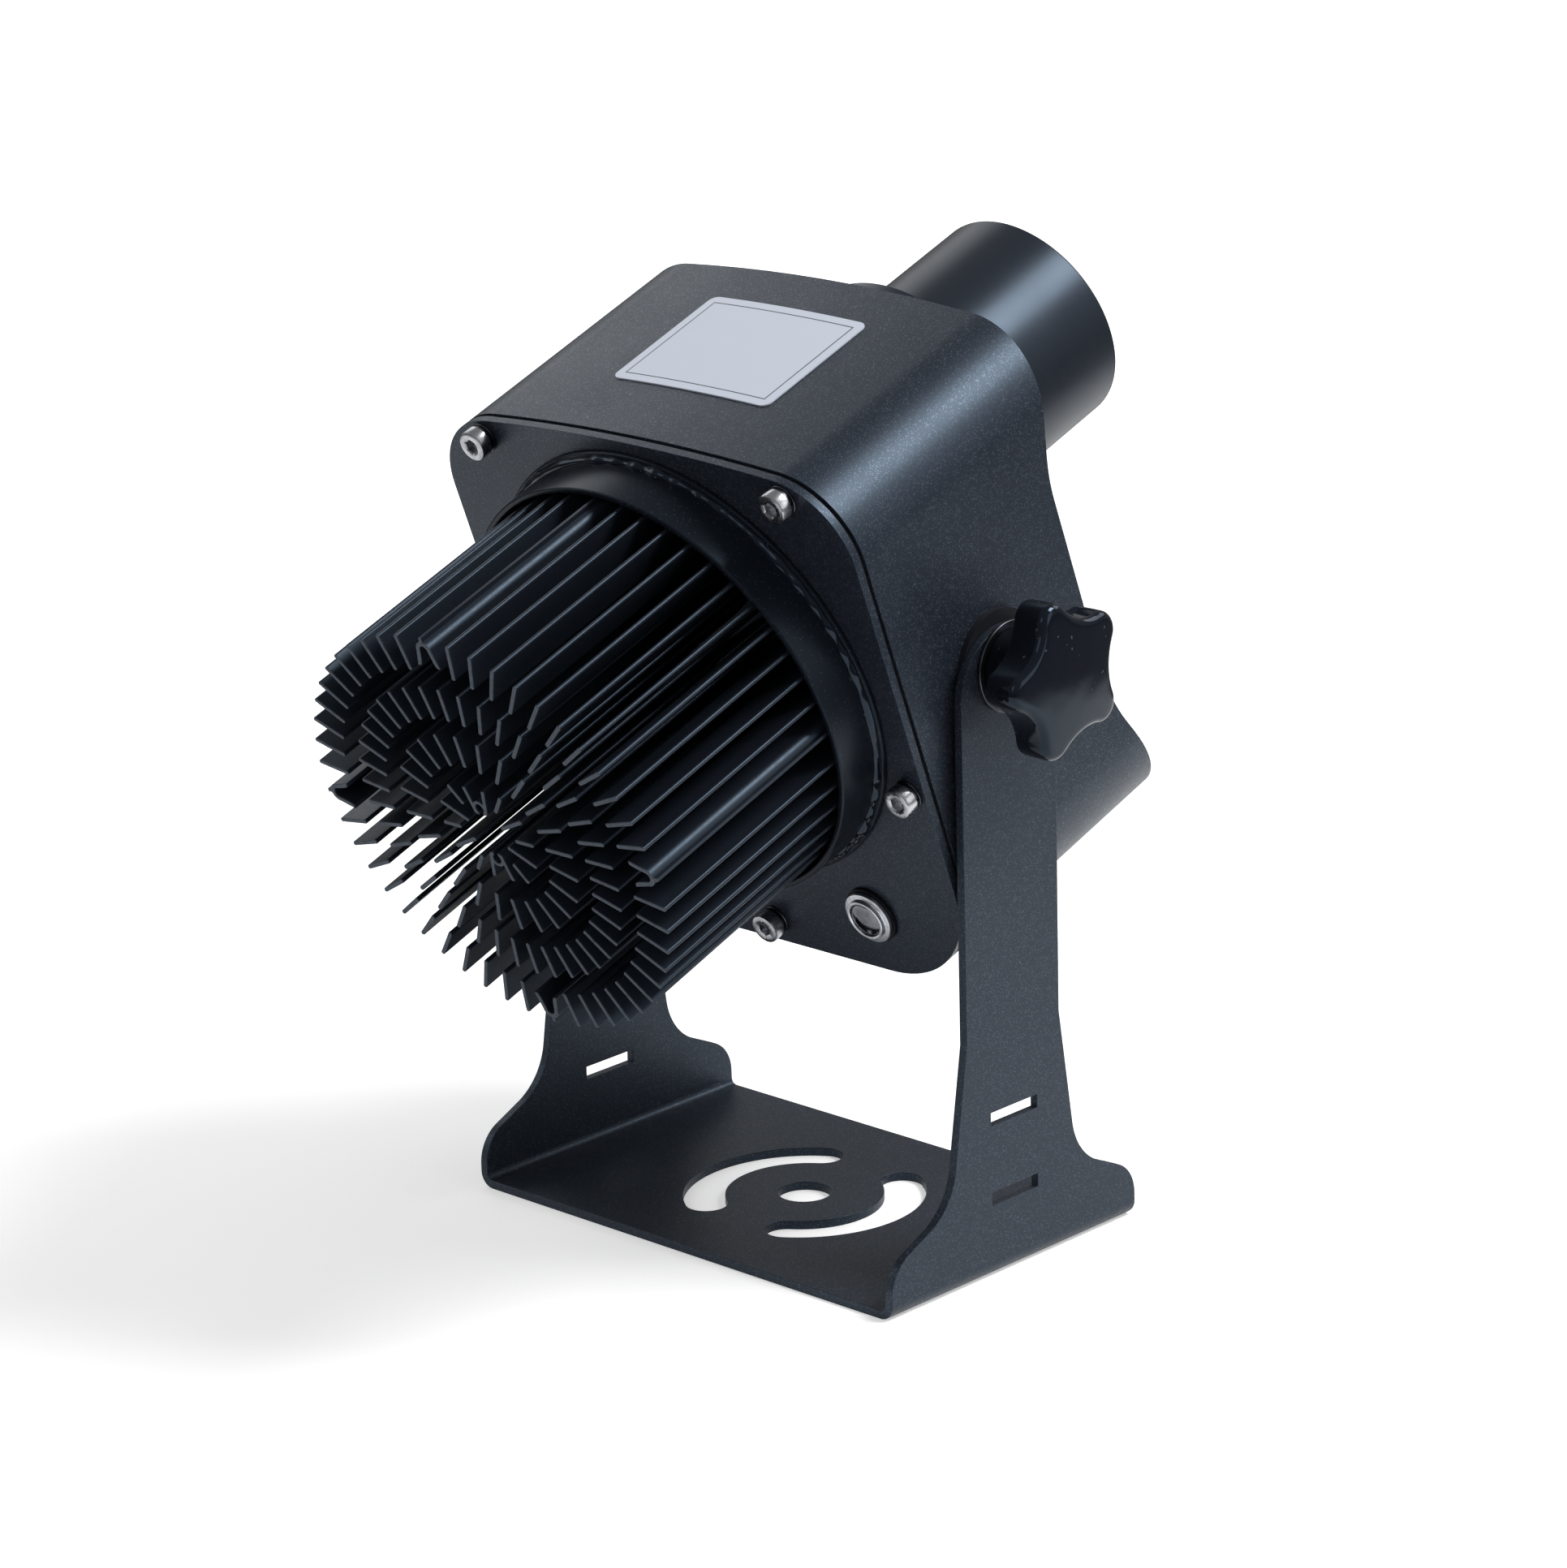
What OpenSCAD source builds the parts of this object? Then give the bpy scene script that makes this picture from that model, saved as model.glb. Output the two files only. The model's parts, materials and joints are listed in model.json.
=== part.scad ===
// Gobo projector: a weatherproof light head in a bent sheet yoke, with a finned heat sink at the back.
// X runs across the yoke, Y towards the lens and Z up, in millimetres.
// The origin is the centre of the round hole in the yoke's base, at its underside.

/* [Yoke] */
// Width over the outsides of the two arms
yoke_w = 125; // [123:0.5:150]
// Thickness of the bent sheet
sheet_t = 2; // [1.6:0.1:2.6]
// Length of the base from front to back
base_len = 80; // [76:1:120]
// Width of an arm where it is straight
arm_w = 30; // [26:0.5:34]
// Height of the tilt axis
pivot_z = 135.6; // [130:0.1:170]
// Drop from the tilt axis to the centre of the arm's round end
arm_end_drop = 6; // [0:0.5:8]
// Inside radius of the two bends
bend_r = 1.5; // [0.5:0.1:3]
// Height at which an arm starts to widen
flare_top_z = 55; // [52:0.5:75]
// Radius of the hollow curve down the arm's edge
flare_r = 15; // [11:0.5:16]
// Distance of that curve's centre from the arm's middle
flare_y = 34; // [32:0.5:36]
// Height of that curve's centre
flare_z = 30.3; // [29:0.1:34]
// Radius of the rounded corner at an arm's foot
foot_r = 9; // [5:0.5:9]
// Height of the centre of the rounded foot corner
foot_z = 5.3; // [4.5:0.1:6]
// Length of the cable tie slots in the arms
tie_slot_w = 15; // [10:0.5:18]
// Height of the cable tie slots
tie_slot_h = 3; // [2:0.1:5]
// Height of the lower cable tie slot
tie_slot_z = 18.1; // [14:0.1:22]
// Distance between the two cable tie slots of an arm
tie_slot_pitch = 18.2; // [12:0.1:24]
// Diameter of the hole in the middle of the base
base_hole_d = 12; // [8:0.5:16]
// Radius of the curved slots' middle line
arc_slot_r = 22.5; // [18:0.5:26]
// Width of the curved slots
arc_slot_w = 9.4; // [6:0.1:12]
// Angle from the X axis to the centre of a curved slot's end
arc_slot_reach = 57.5; // [30:0.5:65]

/* [Head] */
// Angle by which the lens points up at rest
rest_tilt = 20.2; // [0:0.1:45]
// Gap between the casing and each arm of the yoke
side_gap = 1.5; // [1.2:0.1:2.5]
// Height of the crowned top above the tilt axis
body_top = 62.35; // [60:0.05:70]
// Depth of the bottom below the tilt axis
body_low = 66.85; // [64:0.05:70]
// Radius of the casing's upper corners
body_r = 19; // [16:0.5:24]
// Radius of the casing's lower corners
body_low_r = 27; // [24:0.5:27]
// Radius of the crowned top
crown_r = 480; // [300:5:900]
// Thickness of the casing's wall
wall = 3; // [2.4:0.1:3.6]
// Distance from the tilt axis back to the casing's rear edge
casing_back = 26.75; // [26:0.05:34]
// Distance from the tilt axis to the middle of the casing's front edge
casing_front = 29; // [28:0.5:40]
// Height above the tilt axis from which the front edge leans forward to the top
lean_top_z = 27.5; // [20:0.5:32]
// Angle by which the upper part of the front edge leans forward
lean_top = 14.5; // [5:0.5:20]
// Depth below the tilt axis from which the front edge leans forward to the bottom
lean_low_z = 28.5; // [20:0.5:32]
// Angle by which the lower part of the front edge leans forward
lean_low = 22; // [5:0.5:25]
// Radius of the bends in the front edge
lean_r = 40; // [10:1:60]
// Length of the label on the top, across the casing
label_w = 45; // [20:0.5:60]
// Width of the label from back to front
label_len = 34; // [15:0.5:38]
// Distance from the tilt axis forward to the label's middle
label_y = 8.4; // [4:0.1:9]
// Thickness of the label
label_t = 0.3; // [0.2:0.05:0.6]
// Radius of the label's corners
label_r = 2; // [0.5:0.1:4]

/* [Rear plate] */
// Thickness of the rear plate
plate_t = 2; // [1.5:0.1:4]
// Thickness of the sheet gaskets
gasket_t = 1; // [0.5:0.1:2]
// Distance that the rear gasket stays inside the edge
gasket_inset = 0.8; // [0.3:0.1:1.2]
// Distance from the plate's edge to the screws in its upper corners
screw_inset = 4; // [3.5:0.1:5]
// Angle of those screws about the corner's centre
screw_angle = 75.7; // [60:0.1:80]
// Distance from the side edge to the screws in the sides
side_screw_inset = 4.6; // [4:0.1:6]
// Depth of the side screws below the tilt axis
side_screw_drop = 14.9; // [0:0.1:20]
// Distance from the lower edge to the screw in the middle
low_screw_inset = 5.85; // [4:0.05:7]
// Length of the rear screws under the head
rear_screw_len = 14; // [10:1:16]
// Outside radius of the bosses that the rear screws go into
rear_boss_r = 4.6; // [4:0.1:5]

/* [Heat sink] */
// Height of the heat sink's axis above the tilt axis
sink_z = 7; // [3:0.5:10]
// Outside radius of the blades
sink_r = 48.8; // [46:0.1:50]
// Length of the heat sink, base included
sink_len = 80; // [50:1:90]
// Thickness of the heat sink's base
sink_base_t = 8; // [4:0.5:10]
// Thickness of the blades
blade_t = 1.05; // [0.8:0.05:1.4]
// Blades between two screw ports of the outer ring
outer_blades = 11; // [7:1:13]
// Length of the outer blades
outer_blade_len = 8.6; // [6:0.1:9]
// Blades of the second ring
second_blades = 40; // [24:4:48]
// Outside radius of the second ring
second_r = 36.2; // [34:0.1:37]
// Length of the second ring's blades
second_blade_len = 8; // [6:0.1:9]
// Blades of the third ring
third_blades = 24; // [12:4:28]
// Outside radius of the third ring
third_r = 24.6; // [23:0.1:26]
// Length of the third ring's blades
third_blade_len = 7.9; // [6:0.1:8.5]
// Outside radius of the blades in the middle
core_r = 13.3; // [12:0.1:14]
// Radius of the holes in the screw ports
port_hole_r = 1.15; // [0.8:0.05:1.3]
// Radius of the circle that the outer screw ports are on
port_ring_r = 45.6; // [43:0.1:46]
// Outside radius of an outer screw port
port_r = 2.2; // [1.8:0.1:2.6]
// Distance from the middle to the two inner screw ports
core_port_r = 6.4; // [5.5:0.1:8]
// Gap around the blades inside the collar
collar_gap = 0.6; // [0.3:0.1:1.5]
// Thickness of the collar around the blades
collar_t = 1.5; // [1:0.1:3]
// Height of the collar over the rear plate
collar_h = 12.25; // [5:0.25:25]
// Width of the foot ring around the collar
collar_foot_w = 1.9; // [1:0.1:4]
// Thickness of the foot ring
collar_foot_t = 1.2; // [0.8:0.1:2.5]
// Size of the sealant bead in the collar's corner
bead_r = 1.2; // [0.6:0.1:1.8]

/* [Light engine] */
// Length of the spacers between the rear plate and the bulkhead
spacer_len = 12; // [10:0.5:16]
// Outside radius of the spacers
spacer_r = 4; // [3:0.1:5]
// Thickness of the bulkhead that the heat sink is screwed to
bulkhead_t = 3; // [2:0.1:3.6]
// Distance from the casing's sides to the spacers
spacer_inset = 12; // [11:0.5:13]
// Height of the upper spacers above the tilt axis
spacer_top_z = 44; // [42:0.5:45]
// Depth of the lower spacers below the tilt axis
spacer_low_z = 32; // [30:0.5:38]
// Width of the bulkhead's rim around the spacers
bulkhead_rim = 5; // [4.5:0.1:6]
// Height of the lens axis above the tilt axis
lens_z = 20.8; // [16:0.1:21]
// Radius of the light source's circuit board
board_r = 15; // [12:0.5:17]
// Thickness of the circuit board
board_t = 1.6; // [1:0.1:2.4]
// Radius of the light source
emitter_r = 6; // [3:0.5:8]
// Height of the light source over its board
emitter_h = 2.2; // [1:0.1:3]
// Inside radius of the tube that holds the condenser lenses
tube_r = 21; // [19:0.1:22]
// Wall of that tube
tube_wall = 2.5; // [1.5:0.1:3]
// Radius of the flange at the tube's foot
tube_flange_r = 31; // [30:0.1:33]
// Thickness of the flange
tube_flange_t = 2.5; // [2:0.1:4]
// Distance from the tube's foot to the first condenser lens
condenser_y = 5; // [4:0.5:6]
// Thickness of the condenser lenses at the edge
condenser_edge = 3; // [2:0.1:4]
// Rise of the condenser lenses' curved side
condenser_rise = 6; // [3:0.1:6]
// Length of the ring between the condenser lenses
condenser_spacer_len = 13.5; // [13:0.1:15]
// Thickness of the rings that hold lenses
lens_ring_t = 2; // [1.5:0.1:3]
// Width of the rings and shoulders that hold lenses
lens_ring_w = 1.8; // [1:0.1:2.5]
// Distance from the casing's sides to the driver on its floor
driver_inset = 28; // [27:0.5:30]
// Depth of the driver from back to front
driver_len = 22; // [15:0.5:24]
// Height of the driver
driver_h = 18; // [10:0.5:20]
// Side of the driver's square screw ears
driver_ear = 8; // [7:0.5:9]
// Thickness of the screw ears
driver_ear_t = 2; // [1.5:0.1:3]
// Height of the pads under the ears
driver_pad_h = 3; // [2:0.1:5]

/* [Lens] */
// Distance from the casing's front edge in to the front plate
front_recess = 4; // [3:0.5:5]
// Thickness of the front plate
front_plate_t = 3; // [2:0.1:4]
// Gap around the front plate
front_plate_gap = 0.3; // [0.1:0.05:0.8]
// Width of the ledge inside the casing that the front plate rests on
ledge_w = 6; // [5.6:0.1:8]
// Thickness of the ledge
ledge_t = 4; // [3:0.1:4.5]
// Outside radius of the lens mount
mount_r = 32.3; // [31:0.1:34]
// Length of the lens mount
mount_len = 27; // [22:0.5:32]
// Outside radius of the lens barrel
barrel_r = 25.3; // [24:0.1:26]
// Distance that the barrel stands out of its mount at rest
barrel_out = 40.2; // [25:0.1:50]
// Length of the barrel inside its mount at rest
barrel_in = 16; // [14:0.5:17]
// Wall of the barrel
barrel_wall = 2.8; // [2.4:0.1:4]
// Chamfer at the barrel's front
barrel_chamfer = 0.8; // [0.3:0.1:1.5]
// Gap between the barrel and its mount
slide_gap = 0.1; // [0.02:0.01:0.1]
// Distance from the barrel's inner end to its sealing ring
seal_y = 8; // [4:0.5:8]
// Thickness of the sealing ring
seal_t = 1.4; // [1:0.1:1.6]
// Distance from the barrel's inner end to the rear lens
rear_lens_y = 12; // [11:0.5:16]
// Thickness of the objective lenses at the edge
lens_edge = 3; // [2:0.1:4]
// Rise of the objective lenses' curved side
lens_rise = 4; // [2:0.1:5]
// Distance that the front lens ring lies inside the barrel's front edge
lens_recess = 2.7; // [2.4:0.1:3.8]
// Diameter of the gobo
gobo_d = 37.5; // [30:0.5:38]
// Thickness of the gobo
gobo_t = 1.1; // [0.8:0.1:2]
// Diameter of the picture area that the holder leaves free
gobo_window_d = 28; // [20:0.5:30]
// Thickness of the gobo holder
holder_t = 5; // [4.5:0.5:6]
// Thickness of the ring that keeps the gobo in its holder
gobo_ring_t = 1.2; // [0.8:0.1:1.6]

/* [Knobs] */
// Radius over the tips of a knob's lobes
knob_r = 17.6; // [16:0.1:25]
// Lobes of a knob
lobes = 5; // [4:1:6]
// Radius of a lobe's rounded tip
lobe_tip_r = 4.2; // [3.5:0.1:4.6]
// Radius at the bottom of the hollows between lobes
hollow_r = 13; // [12:0.1:13.4]
// Angle of the first lobe from the Y axis
lobe_angle = 16; // [0:1:72]
// Thickness of the lobes at their edge
lobe_t = 8.2; // [6:0.1:14]
// Rise of the knob's domed face
knob_dome = 1.2; // [0.5:0.1:2]
// Length of the hub behind the lobes
hub_len = 7.6; // [3:0.1:12]
// Radius of the hub where it meets the washer
hub_r = 8.6; // [7:0.1:10]
// Radius of the hub where it meets the lobes
hub_top_r = 9; // [7:0.1:10]
// Diameter of the threaded stud
stud_d = 8; // [6:1:10]
// Length of the stud outside its knob
stud_len = 17.5; // [13:0.5:19]
// Length of the stud inside its knob
stud_grip = 10.5; // [8:0.5:12]
// Thickness of the washer under a knob
knob_washer_t = 1; // [0.8:0.1:2]
// Radius of the washer under a knob
knob_washer_r = 10; // [8.5:0.1:12]
// Radius of the friction washers between casing and arms
friction_r = 12; // [10:0.5:13]
// Outside radius of the threaded inserts in the casing
insert_r = 9; // [7:0.1:9]
// Length of the threaded inserts
insert_len = 13; // [10:0.5:14]
// Radius of the flange inside the casing that keeps an insert
insert_flange_r = 11; // [10.5:0.1:11.5]
// Thickness of that flange
insert_flange_t = 2; // [1:0.1:3]
// Radius of the boss around an insert
boss_r = 12; // [11:0.1:12.5]

/* [Button and gland] */
// Distance of the button and the gland from the middle
entry_x = 31.9; // [28:0.1:34]
// Depth of the button and the gland below the tilt axis
entry_z = 51.5; // [50:0.1:52]
// Radius of the button's flange
button_flange_r = 6.2; // [6:0.1:8]
// Thickness of the button's flange
button_flange_t = 1.2; // [0.8:0.1:2]
// Thickness of the sealing ring under the flange
button_seal_t = 0.8; // [0.5:0.1:1.2]
// Outside radius of the sealing ring under the flange
button_seal_r = 6.7; // [6.2:0.1:8]
// Radius of the raised rim around the button's cap
button_rim_r = 4.9; // [4.7:0.1:5.5]
// Height of the raised rim over the flange
button_rim_h = 1; // [0.5:0.1:2]
// Radius of the button's cap
button_cap_r = 4; // [3.5:0.1:4.1]
// Distance that the cap stands out of the rim
button_cap_out = 0.5; // [0.2:0.1:1.5]
// Travel of the button
button_travel = 1.5; // [0.8:0.1:2]
// Radius of the button's threaded barrel
button_thread_r = 5; // [4.9:0.1:5.5]
// Length of the button's threaded barrel
button_thread_len = 14; // [12:0.5:14]
// Radius of the button's stem
button_stem_r = 2.4; // [1.5:0.1:3]
// Radius of the gland's thread
gland_thread_r = 6; // [5.5:0.1:6.5]
// Diameter of the cable that the gland takes
cable_d = 6; // [4:0.5:6.5]
// Thickness of the gland's rubber insert
gland_rubber = 1.5; // [1:0.1:1.6]
// Height of the gland's hexagon
gland_hex_h = 4.5; // [3:0.1:7]
// Width across the flats of the gland's hexagon
gland_flats = 15; // [14:0.5:17]
// Height of the gland's cap
gland_cap_h = 9; // [6:0.5:13]
// Thickness of the nuts inside the rear plate
inner_nut_t = 2.5; // [2:0.1:3.5]

/* [Hidden] */
$fn = 48;

// Facets of the two widest curves
wide_fn = 720;
// Overlap by which a cutter runs past the face that it cuts
past = 1;
// Gap between a screw and its threaded hole
thread_gap = 0.05;
// Gap between a screw and the clearance hole that it passes
pass_gap = 0.2;
// Gap between pieces that are pushed together
fit_gap = 0.05;
// Gap between inner pieces that don't touch
free_gap = 1;

// Screw sizes: thread radius, head radius and head height
M4 = [2, 3.5, 2.8];
M3 = [1.5, 2.75, 3];
M2 = [1, 1.9, 1.6];
// Width across the flats of a screw's hexagon socket, as a share of the head's radius
socket_share = 0.86;
// Spring and flat washers of the rear screws: outside radius and thickness
spring_washer = [3.2, 1];
flat_washer = [3.5, 0.5];
// Opening in the side of a spring washer
spring_slit = 0.5;

// Width of the casing, between the arms of the yoke
body_w = yoke_w - 2 * sheet_t - 2 * side_gap;

// Planes across the head, measured along Y from the tilt axis
plate_in = -casing_back - gasket_t;
plate_out = plate_in - plate_t;
sink_front = plate_in + spacer_len;
bulkhead_front = sink_front + bulkhead_t;
front_plate_out = casing_front - front_recess;
front_plate_in = front_plate_out - front_plate_t;
ledge_front = front_plate_in - gasket_t;
ledge_back = ledge_front - ledge_t;
mount_front = front_plate_out + mount_len;
barrel_front = mount_front + barrel_out;
barrel_back = mount_front - barrel_in;

// Centres of the casing's corners
corner_x = body_w / 2 - body_r;
crown_z = body_top - crown_r;
corner_top_z = crown_z + sqrt(pow(crown_r - body_r, 2) - pow(corner_x, 2));
corner_low_x = body_w / 2 - body_low_r;
corner_low_z = body_low_r - body_low;
corners = [[corner_x, corner_top_z, body_r], [corner_low_x, corner_low_z, body_low_r]];

// Front edge of the casing in Y and Z, from the top to the bottom
edge_top = body_top + past;
edge_low = body_low + past;
bend_y = casing_front + lean_r;
front_edge = concat(
    [[casing_front + (edge_top - lean_top_z) * tan(lean_top), edge_top]],
    arc([bend_y, lean_top_z - lean_r * tan(lean_top / 2)], lean_r, 180 - lean_top, 180, 8),
    arc([bend_y, lean_r * tan(lean_low / 2) - lean_low_z], lean_r, 180, 180 + lean_low, 8),
    [[casing_front + (edge_low - lean_low_z) * tan(lean_low), -edge_low]]
);

// Places of the rear screws in X and Z
corner_screw = [
    corner_x + (body_r - screw_inset) * cos(screw_angle),
    corner_top_z + (body_r - screw_inset) * sin(screw_angle),
];
side_screw_x = body_w / 2 - side_screw_inset;
rear_screw_places = [
    corner_screw,
    [-corner_screw[0], corner_screw[1]],
    [side_screw_x, -side_screw_drop],
    [-side_screw_x, -side_screw_drop],
    [0, low_screw_inset - body_low],
];
// Length of the rear bosses, which end just behind the bulkhead
boss_gap = 0.3;
rear_boss_len = spacer_len - gasket_t - boss_gap;

// Places of the front plate's screws, on the ledge around the corner centres
front_screw_inset = wall + ledge_w / 2;
front_screw_places = [
    for (x = [-1, 1], c = corners)
        [x * (c[0] + (c[2] - front_screw_inset) * cos(45)), c[1] + sign(c[1]) * (c[2] - front_screw_inset) * sin(45)]
];
front_screw_len = front_plate_t + gasket_t + ledge_t - free_gap;

// Collar around the heat sink
collar_in_r = sink_r + collar_gap;
collar_out_r = collar_in_r + collar_t;

// Bulkhead and what is screwed to it
spacer_x = body_w / 2 - spacer_inset;
spacer_places = [for (x = [-1, 1], z = [-spacer_low_z, spacer_top_z]) [x * spacer_x, z]];
// Circle of the heat sink's screws, and the angles at which they clear the optics tube
sink_screw_r = 40;
sink_screw_angles = [10, 170, 220, 320];
sink_screw_places = [for (a = sink_screw_angles) [sink_screw_r * cos(a), sink_z + sink_screw_r * sin(a)]];
board_hole_r = board_r + free_gap;
// Distance from the board's edge to its screws
board_screw_inset = 3.5;
board_screw_r = board_r - board_screw_inset;
board_screw_places = [for (a = [45:90:315]) [board_screw_r * cos(a), lens_z + board_screw_r * sin(a)]];
tube_out_r = tube_r + tube_wall;
tube_screw_r = (tube_out_r + tube_flange_r) / 2;
tube_screw_places = [for (a = [45:90:315]) [tube_screw_r * cos(a), lens_z + tube_screw_r * sin(a)]];
// Lengths of the bulkhead's screws and of the board's screws under the head
inner_screw_len = 8;
board_screw_len = 5;
condenser_1 = bulkhead_front + condenser_y;
condenser_2 = condenser_1 + condenser_edge + condenser_spacer_len;
condenser_end = condenser_2 + condenser_edge;

// Driver, its ears and pads
driver_w = body_w - 2 * driver_inset;
driver_back = ledge_back - driver_len - free_gap;
driver_mid = driver_back + driver_len / 2;
floor_z = wall - body_low;
driver_z = floor_z + driver_pad_h;
ear_x = (driver_w + driver_ear) / 2;
// Length of the driver's screws under the head
driver_screw_len = 5;

// Lens mount and barrel
mount_bore_r = barrel_r + slide_gap;
mount_screw_r = (mount_r + mount_bore_r) / 2;
mount_screw_places = [for (a = [45:90:315]) [mount_screw_r * cos(a), lens_z + mount_screw_r * sin(a)]];
// Depth of the threaded holes in the lens mount
mount_screw_depth = 8;
barrel_bore_r = barrel_r - barrel_wall;
shoulder_r = barrel_bore_r - lens_ring_w;
rear_lens_back = barrel_back + rear_lens_y;
front_lens_back = barrel_front - lens_recess - lens_ring_t - lens_edge;
holder_front = front_plate_out + holder_t;
gobo_back = holder_front - gobo_ring_t - gobo_t;

// Tilt hardware along X, on the right side
casing_x = body_w / 2;
arm_in_x = yoke_w / 2 - sheet_t;
knob_x = yoke_w / 2 + knob_washer_t;
friction_t = arm_in_x - casing_x - slide_gap;
insert_in_x = casing_x - insert_len;
stud_r = stud_d / 2;
stud_hole_r = stud_r + pass_gap;
knob_face_x = knob_x + hub_len + lobe_t;
knob_dome_r = (pow(knob_r, 2) + pow(knob_dome, 2)) / (2 * knob_dome);

// Flanks of the yoke's arms: a line, a hollow arc, a line and a rounded corner, each tangent to the next
foot_y = base_len / 2 - foot_r;
flare_mid = [flare_y, flare_z];
foot_mid = [foot_y, foot_z];
flare_start = [arm_w / 2, flare_top_z];
flare_run = flare_mid - flare_start;
flare_gap = norm(flare_run);
flare_lean = atan2(flare_run[0], -flare_run[1]) - asin(flare_r / flare_gap);
foot_run = flare_mid - foot_mid;
foot_turn = atan2(foot_run[1], foot_run[0]) - acos((flare_r + foot_r) / norm(foot_run));

// Button and gland
button_bore_r = button_cap_r + fit_gap;
button_flange_y = plate_out - button_seal_t;
button_face_y = button_flange_y - button_flange_t;
button_rim_y = button_face_y - button_rim_h;
button_back_y = button_flange_y + button_thread_len;
// Height of the cap's wide part under the face of the flange
button_cap_depth = 3;
button_floor_y = button_face_y + button_travel + button_cap_depth;
gland_face_y = plate_out - gland_hex_h;
// Height of the rim of the gland's cap over its rubber insert
gland_lip = 1.5;
gland_bore_r = cable_d / 2;
gland_seal_r = gland_bore_r + gland_rubber;

// Colours of the finishes
black_coat = "#1d1e21";
steel = "#b9bcc0";
bright_aluminium = "#c3c6ca";
dark_aluminium = "#2a2b2e";
clear_glass = "#cfdde2";
black_rubber = "#18181a";
board_green = "#2d6a44";

// Carries a piece drawn around the tilt axis to its place in the yoke
module in_head() {
    translate([0, 0, pivot_z]) rotate([rest_tilt, 0, 0]) children();
}

// Extrudes an outline drawn in X and Z from one plane across the head to another
module slab(from, to) {
    translate([0, to, 0]) rotate([90, 0, 0]) linear_extrude(to - from) children();
}

// Turns a profile of radius and Y about an axis along Y
module turned(x, z) {
    translate([x, 0, z]) rotate([-90, 0, 0]) rotate_extrude() children();
}

// Turns a profile of radius and X about the tilt axis
module turned_across() {
    rotate([0, 90, 0]) rotate_extrude() children();
}

// Points along an arc from one angle to another
function arc(mid, r, from, to, steps = 24) =
    [for (k = [0:steps]) let (turn = from + (to - from) * k / steps) mid + r * [cos(turn), sin(turn)]];

// Ring in the plane of an outline
module ring(outer, inner) {
    difference() {
        circle(outer);
        circle(inner);
    }
}

// Profile of a tube for turning: a rectangle between two radii
module band(inner, outer, from, to) {
    translate([inner, from]) square([outer - inner, to - from]);
}

// Copies a shape to each place of a list
module at(places) {
    for (p = places) translate(p) children();
}

// Cap screw along Z: the head's underside is at zero and the shank runs down
module cap_screw(size, len) {
    difference() {
        union() {
            cylinder(r = size[1], h = size[2]);
            translate([0, 0, -len]) cylinder(r = size[0], h = len);
        }
        translate([0, 0, size[2] / 2]) linear_extrude(size[2]) hexagon(size[1] * socket_share);
    }
}

// Cap screws at places across the head, with the head's underside at one plane, heads to the back or front
module head_screws(places, size, len, y, heads_back = false) {
    for (p = places)
        translate([p[0], y, p[1]]) rotate([heads_back ? 90 : -90, 0, 0]) cap_screw(size, len);
}

// Lens along Y: flat side at one plane, curved side towards the front, inside a flat rim for the next ring
module lens(r, edge, rise, y) {
    clear_r = r - lens_ring_w - fit_gap;
    dome_r = (pow(clear_r, 2) + pow(rise, 2)) / (2 * rise);
    translate([0, y, lens_z]) rotate([-90, 0, 0]) {
        cylinder(r = r, h = edge);
        intersection() {
            cylinder(r = clear_r, h = edge + rise);
            translate([0, 0, edge + rise - dome_r]) sphere(dome_r, $fn = 96);
        }
    }
}

// Outline of the head, seen from the back, smaller by an inset
module head_outline(inset = 0) {
    half_w = body_w / 2 - inset;
    crown_x = corner_x * (crown_r - inset) / (crown_r - body_r);
    translate([-half_w, corner_low_z]) square([2 * half_w, corner_top_z - corner_low_z]);
    translate([-corner_low_x, inset - body_low]) square([2 * corner_low_x, body_low - inset]);
    for (side = [-1, 1], c = corners) translate([side * c[0], c[1]]) circle(c[2] - inset);
    intersection() {
        translate([0, crown_z]) circle(crown_r - inset, $fn = wide_fn);
        translate([-crown_x, corner_top_z]) square([2 * crown_x, body_r * 2]);
    }
}

// Hexagon by its width across the flats
module hexagon(flats) {
    circle(flats / 2 / cos(30), $fn = 6);
}

// Rectangle with rounded corners around a centre
module rounded_plate(w, h, r) {
    square([w, h - 2 * r], center = true);
    square([w - 2 * r, h], center = true);
    for (x = [-1, 1], y = [-1, 1]) translate([x * (w / 2 - r), y * (h / 2 - r)]) circle(r);
}

// Front flank of an arm, from the foot up, in Y and Z
function flank() = concat(
    [[base_len / 2, 0]],
    arc(foot_mid, foot_r, 0, foot_turn),
    arc(flare_mid, flare_r, 180 + foot_turn, 180 + flare_lean),
    [flare_start]
);

// Both flanks and the round end between them, seen along X
module yoke_side() {
    front = flank();
    polygon(concat(
        front,
        arc([0, pivot_z - arm_end_drop], arm_w / 2, 0, 180, 48),
        [for (k = [len(front) - 1:-1:0]) [-front[k][0], front[k][1]]]
    ));
}

// Section through the bent sheet, seen along Y
module yoke_front() {
    outer_r = bend_r + sheet_t;
    top = pivot_z + arm_w;
    difference() {
        channel(yoke_w / 2, 0, outer_r, top);
        channel(yoke_w / 2 - sheet_t, sheet_t, bend_r, top + past);
    }
}

// Upright rectangle with its two lower corners rounded
module channel(half_w, low, r, top) {
    translate([-half_w, low + r]) square([2 * half_w, top - low - r]);
    translate([r - half_w, low]) square([2 * (half_w - r), r + past]);
    for (x = [-1, 1]) translate([x * (half_w - r), low + r]) circle(r);
}

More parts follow.
